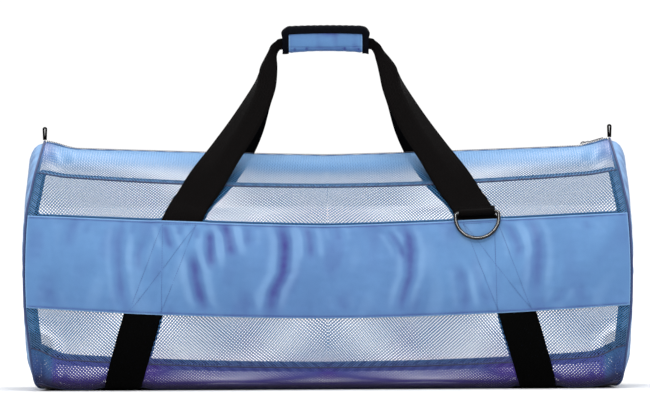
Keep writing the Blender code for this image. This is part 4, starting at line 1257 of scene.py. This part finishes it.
def dring_loop():
    outer = DRING_WIRE + DRING_CLEAR + LOOP_THICK
    seat, above = dring_seat(DRING_LINE), dring_seat(DRING_LINE - 0.3)
    lean = atan2(above[1] - seat[1], above[2] - seat[2])
    back = LAYER_GAP + WEBBING_THICK + LAYER_GAP - DRING_OFFSET
    front = back + 2 * LOOP_THICK
    rise = DRING_LOOP_RISE
    # the webbing's outer face: down behind the bar, round it and up over the back layer
    profile = [(back, y) for y in np.linspace(rise, 0.002, 5)]
    outwards = [(-1.0, 0.0)] * 5
    for t in np.linspace(radians(-180), radians(35), 22):
        profile.append((outer * cos(t), outer * sin(t)))
        outwards.append((cos(t), sin(t)))
    profile += [(front + 0.0012, rise * 0.55), (front, rise * 0.8), (front, rise)]
    outwards += [(0.9, 0.4), (1.0, 0.1), (1.0, 0.0)]
    away = Vector((0.0, -cos(lean), sin(lean)))
    up = Vector((0.0, sin(lean), cos(lean)))
    turn = Matrix((away, up, away.cross(up))).transposed()
    tilted = Matrix.Rotation(radians(-DRING_TILT), 3, "Y") @ turn
    folded_tab("ring_loop", profile, DRING_LOOP_HALF, outwards, seat, tilted, "dring_loop")

# ---------------------------------------------------------------- handle

def sleeve_point(x, angle):
    half = SLEEVE_LENGTH / 2
    from_end = half - abs(x)
    arch = SLEEVE_ARCH * (1.0 - (x / half) ** 2)
    reach = np.clip(SLEEVE_CORNER - from_end, 0.0, SLEEVE_CORNER)
    top = (SLEEVE_TOP + arch * 0.7
           - (SLEEVE_CORNER - np.sqrt(SLEEVE_CORNER ** 2 - reach ** 2 * 0.92)))
    bottom = SLEEVE_BOTTOM + arch * 1.6
    across = abs(np.sin(angle)) ** (2 / SLEEVE_POWER) * np.sign(np.sin(angle))
    up = abs(np.cos(angle)) ** (2 / SLEEVE_POWER) * np.sign(np.cos(angle))
    return np.stack([HANDLE_X + x + 0 * angle, -SLEEVE_HALF_DEPTH * across,
                     (top + bottom) / 2 + (top - bottom) / 2 * up], -1)


def sleeve_normal(x, angle):
    limit = SLEEVE_LENGTH / 2 - 0.0002
    place = np.clip(x, -limit, limit)
    across = sleeve_point(place + 0.0002, angle) - sleeve_point(place - 0.0002, angle)
    around = sleeve_point(place, angle + 0.02) - sleeve_point(place, angle - 0.02)
    return unit(np.cross(around, across))

def sleeve_shell(x, angle, offset, wall, values=None):
    """A sheet round the sleeve, at a height over its surface."""
    x, angle = np.broadcast_arrays(x, angle)
    normals = sleeve_normal(x, angle)
    return shell(sleeve_point(x, angle) + normals * offset[..., None], normals, wall, values)


def handle():
    half = SLEEVE_LENGTH / 2
    around = np.linspace(-pi, pi, 97)[:, None]
    x = np.linspace(-half, half, 150)[None, :] * (1.0 - 0.0012 / half)
    angle, x = np.broadcast_arrays(around, x)
    inside = smooth((half - BINDING_SIDE - abs(x)) / 0.004)
    wrinkle = ripple(x, angle * 0.012, 21, 0.016) * 0.00030
    wrinkle += ripple(x * 2.0, angle * 0.004, 23, 0.03) * 0.00025
    # a crease along the sleeve above its lower edge, and puckers where that edge is sewn
    lower = abs(angle) / pi
    crease = np.exp(-((lower - 0.660 - 0.03 * np.cos(x * 50)) / 0.022) ** 2)
    tuck = sum(np.exp(-((x - place) / 0.0016) ** 2) for place in HANDLE_TUCKS)
    tuck = tuck * smooth((lower - 0.66) / 0.05) * smooth((0.84 - lower) / 0.05)
    offset = (wrinkle + 0.0006 - 0.0007 * crease - 0.0008 * tuck) * inside
    # painted shade in wrinkles, the crease, the puckers, below the crease and under the top
    # binding; painted highlight along the edges of the end bindings
    below = smooth((lower - 0.665) / 0.03) * smooth((0.95 - lower) / 0.1)
    sewn = smooth((0.50 - lower) / 0.06) * (0.25 + 0.55 * np.exp(-((x - 0.004) / 0.012) ** 2))
    fold = np.clip(-wrinkle * 700, 0.0, 0.4) + 0.30 * crease + 0.22 * below + 0.6 * tuck + sewn
    pale = 0.65 * smooth(1.0 - abs(half - BINDING_SIDE - 0.0012 - abs(x)) / 0.0014)
    pale = pale * smooth((lower - 0.42) / 0.06)
    p, f, uv, values = sleeve_shell(x, angle, offset, 0.002,
                                    {"fold": np.clip(fold, 0, 1), "pale": pale})
    piece = mesh_piece("sleeve", p, f, NYLON, ["handle_wrap"], uv=uv, values=values)
    # the binding: one strip along the top, and one round each end
    top = radians(BINDING_TOP_ANGLE)
    side_start = half - BINDING_SIDE
    strips = [(np.linspace(-top, top, 41)[:, None], np.linspace(-side_start, side_start, 80))]
    strips += [(around, np.sort(end * np.linspace(side_start, half, 12))) for end, _ in ENDS]
    shells = [sleeve_shell(x, a, BINDING_OUT + 0.0002 * np.sin(x * 700 + a * 3), 0.0012)
              for a, x in strips]
    taped_piece("sleeve_binding", shells, BINDING, "handle_binding")


# ---------------------------------------------------------------- stitching

def stitching():
    """Rows along both hems of the bands, and over the straps under them."""
    rows = []
    for side, _ in SIDES:
        for line, inset in ((BAND_TOP, HEM_INSET), (BAND_BOTTOM, -HEM_INSET)):
            at = shifted(line, inset)
            reach = float(half_length(at)) - 0.006
            x = np.linspace(-reach, reach, 900)
            rows.append((side, x, at, band_offset(x, at + x * 0)))
        for start, end in STRAP_STITCHES:
            x, down = np.linspace(start, end, 60).T
            at = BAND_TOP + (BAND_BOTTOM - BAND_TOP) * down
            rows.append((side, x, at, band_offset(-side * x, at) + 0.0001))
    points, faces = joined([stitch_arrays(body(x, at, side, offset), outward(x, at, side))
                            for side, x, at, offset in rows])
    mesh_piece("stitches_band", points, faces, THREAD)


# ---------------------------------------------------------------- room and view

def stage():
    corners = [(-FLOOR_HALF, -FLOOR_HALF, 0.0), (FLOOR_HALF, -FLOOR_HALF, 0.0),
               (FLOOR_HALF, FLOOR_HALF, 0.0), (-FLOOR_HALF, FLOOR_HALF, 0.0)]
    mesh = bpy.data.meshes.new("floor")
    mesh.from_pydata(corners, [], [[0, 1, 2, 3]])
    floor = bpy.data.objects.new("floor", mesh)
    material, tree, shader = new_material("floor")
    connect(tree, shader, {"Base Color": (FLOOR_GREY, FLOOR_GREY, FLOOR_GREY, 1.0),
                           "Roughness": 0.9})
    mesh.materials.append(material)
    bpy.context.scene.collection.objects.link(floor)


def lights():
    world = bpy.data.worlds.new("studio")
    world.use_nodes = True
    tree = world.node_tree
    _, back, up = split(tree, tree.nodes.new("ShaderNodeTexCoord").outputs[0])
    overhead = remap(tree, up, 0.35, 0.95, 0.0, SKY_TOP, interpolation_type="SMOOTHSTEP")
    backdrop = remap(tree, back, 0.0, 0.85, SKY_FRONT, SKY_BACK,
                     interpolation_type="SMOOTHSTEP")
    connect(tree, tree.nodes["Background"], {
        0: (1.0, 1.0, 1.0, 1.0), 1: math(tree, "ADD", overhead, backdrop)})
    bpy.context.scene.world = world
    data = bpy.data.lights.new("key", "AREA")
    data.size = KEY_SIZE
    data.energy = KEY_POWER
    lamp = bpy.data.objects.new("key", data)
    lamp.location = KEY_PLACE
    aim = Vector(KEY_AIM) - Vector(KEY_PLACE)
    lamp.rotation_euler = aim.to_track_quat("-Z", "Y").to_euler()
    bpy.context.scene.collection.objects.link(lamp)


def camera():
    """The photograph's view: level, half a degree above the horizon, from far away."""
    data = bpy.data.cameras.new("camera")
    data.sensor_width = 36.0
    data.lens = data.sensor_width * VIEW_DISTANCE / (VIEW_WIDTH / VIEW_SCALE)
    data.clip_end = 100.0
    obj = bpy.data.objects.new("camera", data)
    turn = (Matrix.Rotation(radians(VIEW_TILT), 4, "X")
            @ Matrix.Rotation(radians(VIEW_ROLL), 4, "Z"))
    target = Vector((VIEW_CENTRE[0] / VIEW_SCALE, 0.0, VIEW_CENTRE[1] / VIEW_SCALE))
    obj.matrix_world = (Matrix.Translation(target) @ turn
                        @ Matrix.Translation((0.0, 0.0, VIEW_DISTANCE + VIEW_FRONT)))
    bpy.context.scene.collection.objects.link(obj)
    bpy.context.scene.camera = obj
    bpy.context.scene.view_settings.view_transform = "Standard"
camera()
lights()
stage()
seam_rolls()
nets()
bands()
base()
ends()
straps()
inner_bindings()
zipper()
slider()
end_loops()
dring()
dring_loop()
handle()
stitching()
